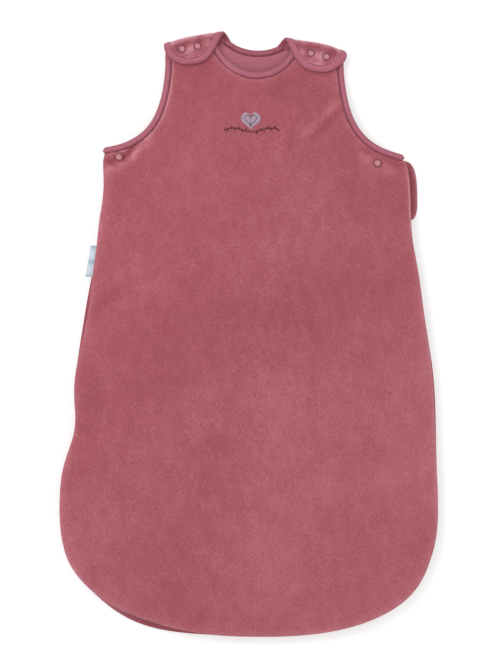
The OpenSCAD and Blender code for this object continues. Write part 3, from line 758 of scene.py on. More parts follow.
def stretched_over(u, v, bottom, top, low_left, low_right, top_breaks, side_breaks):
    """Fills the space between four edges. Each is a list of lines with its own breaks."""
    def edge(lines, breaks, t):
        return chain_of(lines, breaks, np.atleast_1d(t))
    corner_b = edge(bottom, [], np.array([0.0, 1.0]))
    corner_t = edge(top, top_breaks, np.array([0.0, 1.0]))
    one, other = edge(low_left, side_breaks, v), edge(low_right, side_breaks, v)
    u, v = u[:, None], v[:, None]
    return (
        mix(one, other, u)
        + (1 - v) * (edge(bottom, [], u[:, 0]) - mix(corner_b[:1], corner_b[1:], u))
        + v * (edge(top, top_breaks, u[:, 0]) - mix(corner_t[:1], corner_t[1:], u))
    )


def panel_plan(u, v, left_arm_line, right_arm_line, strap_left, neck, strap_right):
    return stretched_over(
        crowded(u), crowded(v, 0.6), [hem_edge], [strap_left, neck, strap_right],
        [left_hem_edge, left_side_edge, left_arm_line],
        [right_hem_edge, right_side_edge, right_arm_line],
        [STRAP_SHARE, 1 - STRAP_SHARE], [HEM_SHARE, ARM_START_V],
    )


def front_plan(u, v):
    strap_left = np.vstack([left_arm_edge[-1], neck_edge[1]])
    strap_right = np.vstack([neck_edge[-2], right_arm_edge[-1]])
    return panel_plan(
        u, v, left_arm_edge, right_arm_edge, strap_left, neck_edge[1:-1], strap_right,
    )


# %% Shape the padded front
# Each fold: from, to, its width and how far it rises, in mm. It rises on the left of its way.
FOLDS = [
    ((-126, 222), (-143, 200), 4.5, 1.5), ((-143, 200), (-170, 190), 4.5, 1.3),
    ((66, 224), (107, 264), 6, 0.6), ((-118, 232), (-124, 214), 5, 0.8),
    ((172, 190), (128, 212), 6, 0.7), ((-96, 300), (-100, 262), 5, 0.5),
]
# Each dent: from, to, its width and its depth, in mm.
HIP_DENT = ((-190, 22), (-140, 58), 7)
DENTS = [
    ((150, 198), (128, 214), 4, 0.8), (*HIP_DENT, 1.6),
    ((-203, -70), (-150, -52), 8, 1.1), ((-212, -120), (-158, -108), 9, 1.2),
]
STUD_SPOTS = [lay([14 - CHEST_W / 2, arm_y - 10])[0], lay([CHEST_W / 2 - 29, arm_y - 10])[0]]
STUD_DIMPLES = 1.1, 1.3
LINING_T, LINING_ROOM = 1.0, 0.5
# The share of a panel's thickness at which its edge turns over.
TURN_AT = 0.42


def front_surface(points):
    """Heights over plan points: swelling, seam puckers, folds, dents and stud dimples."""
    low, high, swell = front_heights(points)
    away = edge_distance(points)
    loose = 1 - strapped(points)
    high = high + 1.0 * swell * bumps(points, 95, 3.1) + 0.35 * bumps(points, 26, 7.7) * loose
    high = high + 0.5 * np.exp(-away / 9) * bumps(points, 9, 1.3) * loose
    high = high + sum(rise * fold(points, *line) for *line, rise in FOLDS)
    high = high - sum(depth * crease(points, *line) for *line, depth in DENTS)
    for spot, push in zip(STUD_SPOTS, STUD_DIMPLES):
        r = np.linalg.norm(points - spot, axis=1)
        high = high + 0.7 * bell(r - 9, 4) - push * bell(r, 5.5)
    return low, high, away


def front_rule(u, v, top):
    plan = front_plan(u, v)
    low, high, away = front_surface(plan)
    low = low + LINING_T + LINING_ROOM
    middle = low + TURN_AT * (high - low)
    turn = rounded(away, 7, 0.12)
    z = np.where(top, middle + (high - middle) * turn, middle - (middle - low) * turn)
    # Painted highlight at the edges and by the arm and guard; folds get painted highlight and
    # shade.
    nap_and_painted_light = np.exp(-away / 4.5) + 0.9 * sum(rise * fold(plan, *line) for *line, rise in FOLDS)
    arm_highlight = smooth((plan[:, 1] - arm_y + 12) / 20) * mix(0.3, 1, smooth((-plan[:, 0] - 66) / 20))
    guard_highlight = np.exp(-(((plan[:, 1] - 155) / 32) ** 4)) * (plan[:, 0] > 100)
    nap_and_painted_light = nap_and_painted_light + 1.4 * guard_highlight * bell(away - 1.2, 1.1) + 1.1 * arm_highlight * bell(away - 1.8, 1.3)
    # Painted shade in the hip dent.
    nap_and_painted_light = nap_and_painted_light - 0.5 * crease(plan, *HIP_DENT)
    return np.column_stack([pulled(plan, "both", "front"), z]), nap_and_painted_light


def bend_over_fold(piece):
    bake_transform(piece)


# %% Make the front panel
FRONT_GRID, BACK_GRID = (136, 212), (84, 130)


def panel(name, grid, rule):
    piece = shape(two_layers(name, *grid), rule, (HEM_W, BAG_LENGTH))
    return settle(piece, 80)


front_panel = panel("front_panel", FRONT_GRID, front_rule)
front_nodes = "front_shell", "front_wadding", "flap_shell", "flap_wadding"
dressed(front_panel, velvet, stands_for=front_nodes)
bend_over_fold(front_panel)
print("front panel:", len(front_panel.data.polygons), "faces")

# %% [markdown]
# ## The front's lining
# A single sheet of cotton jersey lines the front. It takes the same outline, a little inside the
# seam, and hangs just under the wadding.

# %% Lay the front lining
def front_lining_rule(u, v, top):
    plan = front_plan(0.004 + 0.992 * u, 0.003 + 0.994 * v)
    low, high, away = front_surface(plan)
    middle = low + TURN_AT * (high - low)
    under = mix(middle - 0.6, low, rounded(away, 6, 0.1))
    z = under + np.where(top, LINING_T - 0.2, 0)
    return np.column_stack([pulled(plan, "both", "front"), z])


front_lining = panel("front_lining_sheet", FRONT_GRID, front_lining_rule)
dressed(front_lining, jersey, stands_for=("front_lining", "flap_lining"))
bend_over_fold(front_lining)

# %% [markdown]
# ## The padded back
# The back lies on the floor, so its underside is flat, and it swells upwards inside the bag. Its
# edge shows past the front at both hips. Its neckline is higher than the front's, and its shoulder
# straps run up to the folds.

# %% Edges and heights of the back
def back_arm_edge(shoulder, side, arm):
    """The back's armhole edge, which runs on up to the fold."""
    return np.vstack([side[-1:], arm[1:-1], shoulder.at(shoulder.length - 4, FOLD_R + 2)])


back_neck_edge = shifted(back_neck, SEAM_UNDER - BINDING_W)
left_back_arm = back_arm_edge(left, left_side_edge, left_arm_edge)
right_back_arm = back_arm_edge(right, right_side_edge, right_arm_edge)


def back_plan(u, v):
    strap_left = np.vstack([left_back_arm[-1], left.at(6, FOLD_R + 2)[0]])
    strap_right = np.vstack([right.at(6, FOLD_R + 2)[0], right_back_arm[-1]])
    neck = np.vstack([strap_left[-1:], back_neck_edge[3:-3], strap_right[:1]])
    return panel_plan(u, v, left_back_arm, right_back_arm, strap_left, neck, strap_right)


def back_rule(u, v, top):
    plan = back_plan(u, v)
    high = back_height(plan) - LINING_T - 0.1
    turn = rounded(edge_distance(plan), 5, 0.15)
    middle = 0.5 * BACK_EDGE
    z = np.where(top, middle + (high - middle) * turn, middle - middle * turn)
    return np.column_stack([pulled(plan, "both", "back"), z])


def back_lining_rule(u, v, top):
    plan = back_plan(0.045 + 0.91 * u, 0.035 + 0.962 * v)
    away = edge_distance(plan)
    soft = 0.35 * bumps(plan, 45, 5.5) * (1 - smooth((plan[:, 1] - 200) / 60) * 0.4)
    high = back_height(plan) - 0.4 + soft * np.clip(away / 20, 0, 1)
    middle = 0.5 * BACK_EDGE + 0.5
    z = middle + (high - middle) * rounded(away, 5, 0.2)
    return np.column_stack([pulled(plan, "both", "back"), np.where(top, z, z - LINING_T + 0.2)])


# %% Make the back and its lining
back_panel = panel("back_panel", BACK_GRID, back_rule)
dressed(back_panel, velvet, "root", ["back_shell", "back_wadding"])

back_lining = panel("back_lining_sheet", BACK_GRID, back_lining_rule)
dressed(back_lining, jersey, "root", ["back_lining"])
print("back panel:", len(back_panel.data.polygons), "faces")

# %% [markdown]
# ## Tubes of fabric
# A bias binding is a folded strip that wraps an edge, so it reads as a soft, slightly flattened
# tube. It is a grid rolled round a path: one direction follows the path, the other goes round the
# section, and the two long edges are merged. A shallow groove marks its stitch line.

# %% Roll a grid round a path
MERGE_GAP = 0.00001


def oval(v, half_w, half_h, power):
    """A tube's section: how far each point lies across and up, its cosine, and a painted highlight
    value, high on its top and low on its sides.
    """
    turn = -2 * math.pi * v
    c, s = np.cos(turn), np.sin(turn)
    wide = half_w * np.sign(c) * abs(c) ** power
    tall = half_h * np.sign(s) * abs(s) ** power
    return wide, tall, c, 2 * np.clip(s, 0, 1) ** 2 - 1.35


def ripple(along, wave, seed, row=0):
    """Slow unevenness along a tube, in waves of about that many mm."""
    return np.array([noise.noise(Vector((place / wave, seed, row))) for place in along])


def close_tube(piece):
    """Merges the long edges, fills both ends and turns every face outwards."""
    mesh_edit(
        piece,
        (bpy.ops.mesh.remove_doubles, dict(threshold=MERGE_GAP)),
        (bpy.ops.mesh.fill_holes, dict(sides=0)),
        (bpy.ops.mesh.normals_make_consistent, dict(inside=False)),
    )
    return settle(piece)


def rolled(name, path, half_w, half_h, around=16, pitch=3.0, groove=0.0, puff=0.0, power=0.8):
    """A level tube along 3D points in mm. A groove above 0 is on its left, below 0 on its right."""
    path = np.asarray(path, float)
    length = length_of(path)

    def rule(u, v, top):
        ahead = heading(path, u)
        across = unit(np.column_stack([leftward(ahead), 0 * u]))
        up = np.cross(ahead, across) * -1
        up = up * np.where(up[:, 2:] < 0, -1, 1)
        wide, tall, c, painted_top_light = oval(v, half_w, half_h, power)
        if groove:
            tall = tall * (1 - abs(groove) * bell(c - 0.55 * np.sign(groove), 0.16))
        if puff:
            tall = tall * (1 + puff * ripple(u * length, 7, 3.3))
        closing = rounded(np.minimum(u, 1 - u) * length, half_w, 0.2)
        points = run(path, u) + (wide * closing)[:, None] * across + (tall * closing)[:, None] * up
        return points, painted_top_light

    piece = one_layer(name, max(6, int(length / pitch)), around)
    return close_tube(shape(piece, rule, (length, 2 * half_w + 2 * half_h)))


def with_height(plan, z):
    return np.column_stack([plan, np.broadcast_to(z, len(plan))])


# %% Stitches, copied along a path
def repeated_along(path, piece, pitch, offset=0.0):
    """Repeats a small piece by an array, and bends the row to the path with a curve."""
    start_fresh()
    bpy.ops.curve.primitive_nurbs_path_add()
    guide = bpy.context.object
    guide.data.splines.clear()
    line = guide.data.splines.new("POLY")
    line.points.add(len(path) - 1)
    for point, place in zip(line.points, path):
        point.co = (*(place * MM), 1)
    guide.data.twist_mode = "Z_UP"
    count = max(2, int((length_of(path) - offset) / pitch))
    modify(
        piece, "ARRAY", count=count, use_relative_offset=False, use_constant_offset=True,
        constant_offset_displace=(pitch * MM, 0, 0),
    )
    write_points(piece, read_points(piece) + [(0.5 * pitch + offset) * MM, 0, 0])
    modify(piece, "CURVE", object=guide, deform_axis="POS_X")
    bpy.data.objects.remove(guide)
    return count


def sized(piece, *size_mm):
    piece.scale = [length * MM for length in size_mm]
    bpy.ops.object.transform_apply(location=True, rotation=True, scale=True)
    return piece


def stitches(name, path, material, pitch=3.2, long=2.6, thick=0.85, body="root"):
    """One small rounded stitch, repeated along the path."""
    start_fresh()
    bpy.ops.mesh.primitive_uv_sphere_add(segments=6, ring_count=4, radius=0.5)
    stitch = sized(named(name), long, thick, thick)
    repeated_along(path, stitch, pitch)
    return dressed(settle(stitch, 80), material, body)


# %% Painted shadow in the groove beside a binding
def groove_shadow(name, path, wide=0.75, tall=1.0):
    """A thin dark cord in the groove where a binding meets the velvet: painted shadow."""
    return dressed(rolled(name, path, wide, tall, around=8), groove_shadow_paint, "root")


# %% Front neck and armhole bindings
# How far a tube's side and its stitches reach past the binding's own lines, in mm.
BINDING_EASE, STITCH_IN = 0.4, 1.2


def front_edge_z(plan):
    return mix(FRONT_EDGE_Z, STRAP_Z, strapped(plan)) + 0.5 * FRONT_EDGE


def binding_of(name, edge, side, node, half_h=2.7):
    """A binding rolled over the edge line; side says on which side of it the cloth lies."""
    edge = pulled(edge, "both", "front")

    def beside(distance, up):
        line = shifted(edge, side * distance)
        return with_height(line, front_edge_z(line) + up)

    path = beside(BINDING_W / 2, 0)
    half_w = BINDING_W / 2 + BINDING_EASE
    piece = rolled(name, path, half_w, half_h, groove=side * 0.42, puff=0.12)
    dressed(piece, edging, "root", [node])
    stitches(name + "_stitches", beside(BINDING_W - STITCH_IN, half_h * 0.62), thread)
    # A dark cord of painted shadow in the groove beside the binding.
    groove_shadow(name + "_seam", beside(BINDING_W + 0.3, 1.6))


# The left armhole's binding runs on a little past the side seam.
left_arm_line = np.vstack([left_arm[0] + [-4.5, -0.8], left_arm])
binding_of("neck_binding", front_neck, -1, "front_neck_binding")
binding_of("left_arm_binding", left_arm_line, -1, "left_armhole_binding")
binding_of("right_arm_binding", right_arm, 1, "right_armhole_binding")

# %% Back neck band and back armhole bindings
BACK_BAND_Z, BACK_BAND_H, BACK_STITCH_Z = 2.35, 2.3, 4.25


def back_binding(name, edge, side, node, material):
    path = with_height(shifted(edge, side * BINDING_W / 2), BACK_BAND_Z)
    half_w = BINDING_W / 2 + 0.3
    piece = rolled(name, path, half_w, BACK_BAND_H, groove=side * 0.35, puff=0.08)
    dressed(piece, material, "root", [node])
    line = shifted(edge, side * (BINDING_W - 0.9))
    stitches(name + "_stitches", with_height(line, BACK_STITCH_Z), thread)


back_binding("neck_band", back_neck, -1, "back_neck_binding", neck_band)
neck_inner = shifted(back_neck, -BINDING_W - 0.1)
# A dark cord of painted shadow along the neck band's inner edge.
groove_shadow("neck_band_seam", with_height(neck_inner, 3.0), 0.9, 1.2)
back_binding("left_back_binding", left_arm, -1, "left_back_armhole_binding", edging)
back_binding("right_back_binding", right_arm, 1, "right_back_armhole_binding", edging)

# %% [markdown]
# ## Shoulder folds and tabs
# The back's strap folds forward over each shoulder and ends in a rounded tab that buttons down on
# the front. The piece is made unrolled, with u along the fold and q along the cloth, and a rule
# wraps it round the fold, so that velvet and edging follow the same surface.

# %% Wrap a flat tab round the shoulder
MID_R = 5.0
HALF_TURN = math.pi * MID_R
# How far each fold arches up, in mm, and how far the arch leans to its outer end.
ARCH = {-1: (2.6, 0.8), 1: (4.4, 1.5)}
# How far a tab's pieces run on under the strap, in mm.
TAB_TUCK = 6
# How far each fold's outer end slips down and out, in mm.
END_SLIP = {-1: (3.0, 0.8), 1: (1.6, 3.0)}


def wrapped(shoulder, u, q, h):
    """u and q lie in the cloth, h is the height above its middle layer, all in mm."""
    angle = np.clip(q, 0, HALF_TURN) / MID_R
    v = FOLD_R - (MID_R + h) * np.sin(angle) + np.maximum(q - HALF_TURN, 0) + np.maximum(-q, 0)
    rise, lean_out = ARCH[shoulder.side]
    arch = rise * np.sin(math.pi * np.clip(u / shoulder.length, 0, 1) ** lean_out)
    near_fold = smooth(q / HALF_TURN) * (1 - smooth((q - HALF_TURN) / 22))
    down, out = END_SLIP[shoulder.side]
    at_end = smooth((u / shoulder.length - 0.72) / 0.28) * near_fold
    v = v - arch * near_fold + down * at_end
    u = u + out * at_end
    z = FOLD_R - (MID_R + h) * np.cos(angle)
    return np.column_stack([shoulder.at(u, v), z])


def tab_edge(shoulder):
    """The tab's outline unrolled, from the neck side round the tip to the armhole side."""
    w = shoulder.length
    tip = 0.56 * w
    plan = np.vstack([
        bezier([[1.5, 0], [10, 9], [0.27 * w, TAB_DEPTH], [tip, TAB_DEPTH]]),
        bezier([[tip, TAB_DEPTH], [0.86 * w, TAB_DEPTH], [w, 0.66 * TAB_DEPTH], [w, 0]])[1:],
    ])
    plan = plan[plan[:, 1] >= FOLD_R - MID_R]
    u, v = plan.T
    on_fold = MID_R * (math.pi - np.arcsin(np.clip((FOLD_R - v) / MID_R, 0, 1)))
    q = np.where(v >= FOLD_R, HALF_TURN + v - FOLD_R, on_fold)
    start, end = [max(u[0] - 0.8, 0.5), -TAB_TUCK], [w, -TAB_TUCK]
    return np.vstack([[start], np.column_stack([u, q]), [end]])


# %% The cloth and the edging of a tab
# Where the two studs sit along the fold, and how far down from it, in mm.
STUD_U, STUD_Q = (35, 53.5), 4.8


def tab_cloth(name, shoulder):
    edge = tab_edge(shoulder)
    tip = int(np.argmax(edge[:, 1]))
    near, far = edge[:tip + 1], edge[tip:][::-1]
    q_top = edge[tip, 1] - 1.5

    def rule(u, v, top):
        q = -TAB_TUCK + (q_top + TAB_TUCK) * np.sin(v * math.pi / 2) ** 0.9
        one = np.interp(q, near[:, 1], near[:, 0]) + 1.2
        other = np.interp(q, far[:, 1], far[:, 0]) - 1.2
        across, down = mix(one, other, u), q - HALF_TURN
        inside = np.minimum(np.minimum(u, 1 - u) * abs(other - one), q_top - q)
        pillow = 0.9 * bell(inside - 13, 9) * smooth((down + 4) / 6)
        for stud in STUD_U:
            r = np.hypot(across - stud, down - STUD_Q)
            pillow = pillow + 0.25 * bell(r - 7.5, 2.2) - 0.9 * bell(r, 5.2)
        flat = np.column_stack([across, q])
        wobble = 0.35 * bumps(flat, 11, 2.2 + shoulder.side) * (down > 0)
        high = 1.9 + np.maximum(pillow, -0.1) + wobble
        # Painted highlight over the fold, inside the edging and between the studs, and painted
        # shade just below the fold; the bumps add nap tone at random.
        lit = 1.3 * bell(down + 6, 3.5) - 0.6 * bell(down - 1.5, 3.2)
        lit = lit + 0.9 * bell(inside - 4.5, 2.5) * (down > 0)
        lit = lit + 1.0 * bell(across - 44, 5) * bell(down - 8, 4)
        nap_and_painted_light = lit + 0.6 * bumps(flat, 9, 6.1 + shoulder.side) + 0.15
        return wrapped(shoulder, across, q, np.where(top, high, -1.8)), nap_and_painted_light

    piece = shape(two_layers(name, 56, 56), rule, (shoulder.length, q_top + TAB_TUCK))
    turn_faces_out(piece)
    return settle(piece), edge


def wrapped_tube(name, shoulder, middle, half_w, half_h, closing=False):
    """An edging rolled along a line in the unrolled plane, and then wrapped with the cloth."""
    length = length_of(middle)

    def rule(u, v, top):
        slim = rounded(np.minimum(1 - u, u) * length, half_w, 0.25) if closing else 1
        wide, tall, c, painted_top_light = oval(v, half_w, half_h, 0.75)
        tall = tall * slim * (1 - 0.3 * bell(c + 0.7, 0.12))
        tall = tall * (1 + 0.12 * ripple(u * length, 8, 1.7, shoulder.side))
        flat = run(middle, u) + (wide * slim)[:, None] * leftward(heading(middle, u))
        return wrapped(shoulder, flat[:, 0], flat[:, 1], tall), painted_top_light

    piece = one_layer(name, int(length / 1.6), 22)
    return close_tube(shape(piece, rule, (length, 2 * half_w + 2 * half_h)))


# %% The neck side of a tab
def corners_cut(points, rounds=2):
    """Rounds off an open line by cutting its corners."""
    for _ in range(rounds):
        a, b = points[:-1], points[1:]
        cut = np.stack([mix(a, b, 0.25), mix(a, b, 0.75)], axis=1).reshape(-1, 2)
        points = np.vstack([points[:1], cut, points[-1:]])
    return points


def neck_turn(name, shoulder):
    """The edging leaves the tab at the fold and runs into the band round the back of the neck."""
    band = shifted(back_neck, -BINDING_W / 2)[::-shoulder.side]
    places = run(band, np.linspace(0.09, 0.25, 8)) - shoulder.start
    on_strap = np.column_stack([places @ shoulder.way, FOLD_R - places @ shoulder.down])
    on_fold = np.array([[4.7, 0.82], [4.6, 0.5], [4.0, 0.3], [2.6, 0.12]]) * [1, HALF_TURN]
    middle = corners_cut(np.vstack([on_fold, on_strap]))
    half_w = BINDING_W / 2 + BINDING_EASE
    piece = wrapped_tube(name, shoulder, middle, half_w, 2.5, closing=True)
    return dressed(piece, neck_band)


# %% Both shoulders
EDGING_W, EDGING_H = 4.6, 2.6


def bend_over_shoulder(piece, shoulder):
    """Puts the piece's place into its mesh."""
    x, y = shoulder.at(shoulder.length / 2, FOLD_R)[0] * MM
    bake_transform(piece)


def make_tab(side, shoulder):
    body = side + "_tab"
    cloth, edge = tab_cloth(body + "_cloth", shoulder)
    nodes = [f"{side}_shoulder_fold", f"{body}_shell", f"{body}_wadding", f"{body}_lining"]
    dressed(cloth, lit_tab_velvet, stands_for=nodes)
    middle = shifted(edge, 0.4 - EDGING_W)
    trim = wrapped_tube(body + "_edging", shoulder, middle, EDGING_W, EDGING_H)
    dressed(trim, edging, stands_for=[body + "_binding"])
    inner = shifted(edge, -6.7)
    inner = inner[inner[:, 1] > HALF_TURN - 4]
    line = wrapped(shoulder, inner[:, 0], inner[:, 1], np.full(len(inner), 2.4))
    seam = stitches(body + "_stitches", line, thread, body=None)
    for piece in (cloth, trim, seam, neck_turn(side + "_neck_turn", shoulder)):
        bend_over_shoulder(piece, shoulder)


make_tab("left", left)
make_tab("right", right)
print("tabs are", round(left.length, 1), "and", round(right.length, 1), "mm along the fold")

# %% [markdown]
# ## Press studs
# The caps, sockets and posts are exact in the frame, so they stay and only get their finish.

# %% Finish the studs
for name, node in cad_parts.items():
    if name.endswith(("_caps", "_sockets", "_studs")):
        wear_material(node, stud_metal)

# %% A rolled rim round each cap
CAP_RIM_R, CAP_RIM_T = 3.75, 1.15


def cap_rims(name, places, body):
    """Each cap's edge is rolled over; its dark colour is painted shadow of the pressed pile round
    it.
    """
    rims = []
    for place in places:
        start_fresh()
        bpy.ops.mesh.primitive_torus_add(
            major_segments=44, minor_segments=10, major_radius=CAP_RIM_R * MM,
            minor_radius=CAP_RIM_T * MM, location=np.array(place) * MM,
        )
        rims.append(named("rim"))
    dressed(settle(joined(name, rims)), stud_rim_shadow, body)
    print(name, "over", len(places), "caps")


for side, shoulder in (("left", left), ("right", right)):
    cap_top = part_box(f"{side}_tab_caps")[1][2] / MM
    places = [(*shoulder.at(u, FOLD_R + STUD_Q)[0], cap_top - 0.95) for u in STUD_U]
    cap_rims(f"{side}_tab_cap_rims", places, f"{side}_tab")
spot_tops = front_heights(np.array(STUD_SPOTS))[1] + [0.6, 1.6]
cap_rims("underarm_cap_rims", [(*at, top) for at, top in zip(STUD_SPOTS, spot_tops)], "root")

# %% [markdown]
# ## Side gusset and zip
# At the left a velvet band joins front and back. On the other side and round the hem runs the
# zip: woven tape above and below, and a chain of teeth between. A tooth is modelled once and
# repeated by an array that a curve bends round the bag.

# %% Side gusset
EDGE_BAND_LOW = BACK_EDGE + BACK_LOFT * (1 - math.exp(-ZIP_INSET / SWELL)) + 0.2
EDGE_BAND_TOP = FRONT_EDGE_Z + 0.2
band_middle = (EDGE_BAND_LOW + EDGE_BAND_TOP) / 2
GUSSET_START, GUSSET_IN, GUSSET_Z = ZIP_END_ANGLE - 175.6, 6.3, 10.2
gusset_edge = np.vstack([lay(hem_point(np.linspace(GUSSET_START, -180, 22))), left_side[1:]])
gusset_path = with_height(pulled(shifted(gusset_edge, -GUSSET_IN), "both", "front"), GUSSET_Z)
gusset = rolled("side_gusset_band", gusset_path, 2.2, 6.9, pitch=5, puff=0.05, power=0.7)
dressed(gusset, velvet, "root", ["side_gusset"])

# %% Zip path, tapes and teeth
TAPE_T, TOOTH_T, CHAIN_GAP = 0.8, 1.6, 1.2
zip_top_y = arm_y - 14
fold_top_y = arm_y - FOLD_DROP
upper_side = side_points(zip_top_y, knee_y, 30) + [LEAN, 0]
zip_edge = np.vstack([
    upper_side, lay(side_points(knee_y, widest_y, 40))[1:],
    lay(hem_point(np.linspace(0, ZIP_END_ANGLE - 176, 70)))[1:],
])
zip_path = shifted(zip_edge, -ZIP_INSET)
split = int(np.argmin(abs(zip_path[:, 1] - fold_top_y)))


def tape(name, path, z0, z1, node, body):
    def rule(u, v, top):
        spread = np.where(top, TAPE_T, 0)[:, None] * leftward(heading(path, u))
        return np.column_stack([pulled(run(path, u), "zip") + spread, mix(z0, z1, v)])

    length = length_of(path)
    piece = shape(two_layers(name, max(8, int(length / 5)), 4), rule, (length, z1 - z0))
    turn_faces_out(piece)
    dressed(settle(piece, 40), zip_tape, body, [node])


top_part, low_part = zip_path[:split + 1], zip_path[split + 1:]
below, above = band_middle - CHAIN_GAP / 2, band_middle + CHAIN_GAP / 2
tape("tape_back", zip_path, EDGE_BAND_LOW, below, "zip_tape_back", "root")
tape("tape_top", top_part, above, EDGE_BAND_TOP, "zip_tape_top", "root")
tape("tape_front", low_part, above, EDGE_BAND_TOP, "zip_tape_front", "front_flap")


def teeth(name, path, z, node, body, offset=0.0, pitch=2.6):
    """A row of small rounded teeth just outside the tape."""
    line = with_height(pulled(shifted(path, TAPE_T + 0.1 + TOOTH_T / 2), "zip"), z)
    start_fresh()
    bpy.ops.mesh.primitive_cube_add(size=1)
    tooth = sized(named(name), 1.5, TOOTH_T, 2.1)
    modify(tooth, "BEVEL", width=0.35 * MM, segments=1)
    count = repeated_along(line, tooth, pitch, offset)
    dressed(settle(tooth, 30), zip_coil, body, [node])
    return count


low_z, high_z = band_middle - 1.6, band_middle + 1.6
made = teeth("teeth_back", zip_path, low_z, "zip_chain_back", "root")
made += teeth("teeth_top", top_part, high_z, "zip_chain_top", "root", offset=0.6)
made += teeth("teeth_front", low_part, high_z, "zip_chain_front", "front_flap", offset=0.6)
print("zip:", round(length_of(zip_path)), "mm with", made, "teeth")

# %% Slider, pull and stops keep their exact shape
for name in ("zip_slider", "zip_pull", "zip_top_stop", "zip_end_stop"):
    wear_material(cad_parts[name], zip_metal)

# %% [markdown]
# ## Zip guard and side label
# A small padded velvet flap stands out at the zip's top, so that the slider can't scratch. On the
# other side a folded woven label, left plain, sticks out of the seam.

# %% Zip guard
guard_low, guard_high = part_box("zip_guard")
guard_y0, guard_y1 = guard_low[1] / MM, guard_high[1] / MM
# How far the flap reaches out past the side, and in under it, in mm.
GUARD_OUT, GUARD_IN = 9.0, 4


def guard_rule(u, v, top):
    y = mix(guard_y0, guard_y1, v)
    base = side_points(0, 1, 2)[0, 0] - 2 * side_bow / SIDE_CURVE * y + LEAN
    reach = GUARD_OUT * (1 - abs(2 * v - 1) ** 4) ** 0.5
    x = base - GUARD_IN + (GUARD_IN + reach) * u
    edge = np.minimum(1 - u, np.minimum(v, 1 - v) * 6)
    turn = rounded(edge, 0.45)
    z = 2.0 + np.where(top, 4.4 * turn * (0.75 + 0.25 * np.cos(2.2 * u)) + 0.2, -1.7 * turn)
    plan = pulled(np.column_stack([x, y - 2]), "both")
    # The flap returns a painted highlight along its rim as its light value.
    return np.column_stack([plan, z]), 0.8 * bell(edge - 0.12, 0.1)


guard = settle(shape(two_layers("guard_flap", 24, 60), guard_rule, (12, 69)))
dressed(guard, velvet, "root", ["zip_guard"])

# %% Woven side label
label_low, label_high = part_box("side_label")


def label_rule(u, v, top):
    low, high = np.array(label_low) / MM, np.array(label_high) / MM
    y = mix(low[1], high[1], v)
    edge = np.interp(y, left_side[:, 1], left_side[:, 0])
    x = mix(edge - 7, edge + 5, u)
    sag = 1.2 * (1 - u) ** 2 + 0.25 * np.sin(v * 9)
    rounded = 0.55 * np.sqrt(np.clip(u / 0.06, 0, 1))
    plan = pulled(np.column_stack([x, y]), "both")
    return np.column_stack([plan, low[2] + 0.5 - sag + np.where(top, rounded, -rounded)])


label = settle(shape(two_layers("woven_side_label", 14, 16), label_rule, (12, 35)))
dressed(label, label_weave, "root", ["side_label"])

# %% [markdown]
# ## Embroidery
# A small heart in satin stitch sits on the chest, over a line of running stitch. Satin stitch is
# many threads laid side by side, so the heart is a row of rounded threads that follow the
# swelling velvet.

# %% Satin-stitch heart and running stitches
HEART_W, HEART_ROWS, SPLIT_W = 23, 34, 6
motif = lay([-4.5, 246.5])[0]


def heart_point(t):
    return HEART_W / 32 * np.column_stack([
        16 * np.sin(t) ** 3, 13 * np.cos(t) - 5 * np.cos(2 * t) - 2 * np.cos(3 * t) - np.cos(4 * t)
    ])


rim = heart_point(np.linspace(0, 2 * math.pi, 361))


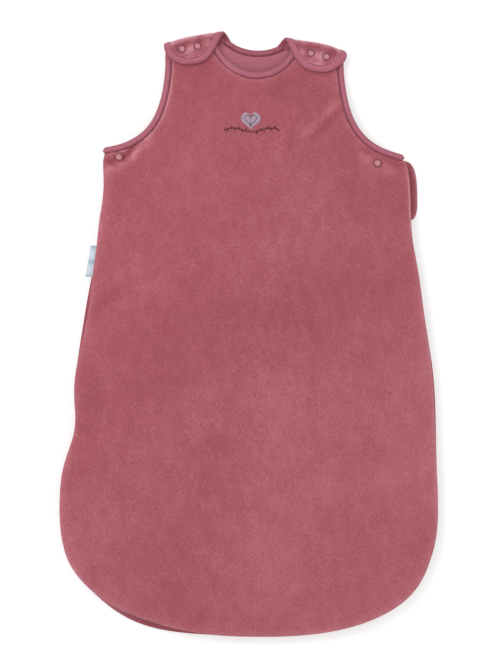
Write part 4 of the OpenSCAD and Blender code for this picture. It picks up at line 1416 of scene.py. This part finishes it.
def thread_piece(name, start, end, thick=0.75, rise=0.35):
    """One thread laid on the velvet from start to end: a rounded bar that arches a little."""
    start_fresh()
    bpy.ops.mesh.primitive_cylinder_add(
        vertices=6, radius=0.5, depth=1, rotation=(0, math.pi / 2, 0),
    )
    piece = named(name)
    bpy.ops.object.transform_apply(location=True, rotation=True, scale=True)
    mesh_edit(piece, (bpy.ops.mesh.subdivide, dict(number_cuts=3)))
    flat = read_points(piece)
    t = flat[:, 0] + 0.5
    way = np.array([np.array(end) - start])
    taper = 0.45 + 0.55 * np.sin(math.pi * np.clip(t, 0.08, 0.92))
    side = (flat[:, 1] * thick * taper)[:, None] * leftward(unit(way))
    plan = np.array(start) + t[:, None] * way + side
    z = front_surface(plan)[1] + 0.15 + flat[:, 2] * thick * taper + rise * np.sin(math.pi * t)
    write_points(piece, MM * np.column_stack([plan, z]))
    return piece


# %% Lay the heart's threads, row by row
threads = []
levels = np.linspace(rim[:, 1].min() + 0.5, rim[:, 1].max() - 0.3, HEART_ROWS)
for k, level in enumerate(levels):
    inside = np.where(np.diff(np.sign(rim[:, 1] - level)) != 0)[0]
    xs = sorted(rim[i, 0] for i in inside)
    for x0, x1 in zip(xs[::2], xs[1::2]):
        halves = [(x0, 0), (0, x1)] if len(xs) == 2 and x1 - x0 > SPLIT_W else [(x0, x1)]
        for a, b in halves:
            if b - a > 0.8:
                slope = 0.12 * abs(b - a)
                start, end = [a, level - slope * (a < 0)], [b, level - slope * (b > 0)]
                threads.append(thread_piece(f"strand{k}", motif + start, motif + end))
heart = settle(joined("heart_embroidery", threads), 80)
dressed(heart, pale_thread, "root", ["embroidery"])

# %% A sprig and the heart's inner line
t = np.linspace(0, 1, 60)
garland = motif + np.column_stack([mix(-31, 34, t), -12 + 2.2 * np.sin(2 * math.pi * t * 1.5)])
stitches(
    "running_stitch", with_height(garland, front_surface(garland)[1] + 0.25), dark_thread,
    pitch=3.4, long=3.2, thick=1.7,
)
leaves = []
for k, place in enumerate(run(garland, np.linspace(0.05, 0.95, 15))):
    # The leaves lean up and down in turn, and leave room for the heart's tip.
    if abs(place[0] - motif[0]) > 5:
        leaf_tip = place + [2.4, 2.6 if k % 2 else -2.6]
        leaves.append(thread_piece(f"leaf{k}", place, leaf_tip, thick=1.2, rise=0.4))
dressed(settle(joined("sprig_leaves", leaves), 80), dark_thread, "root")

inner_line = motif + 0.58 * heart_point(np.linspace(0, 2 * math.pi, 80))
stitches(
    "heart_outline", with_height(inner_line, front_surface(inner_line)[1] + 0.75), dark_thread,
    pitch=2.6, long=2.3, thick=1.2,
)
print("heart:", len(threads), "threads")
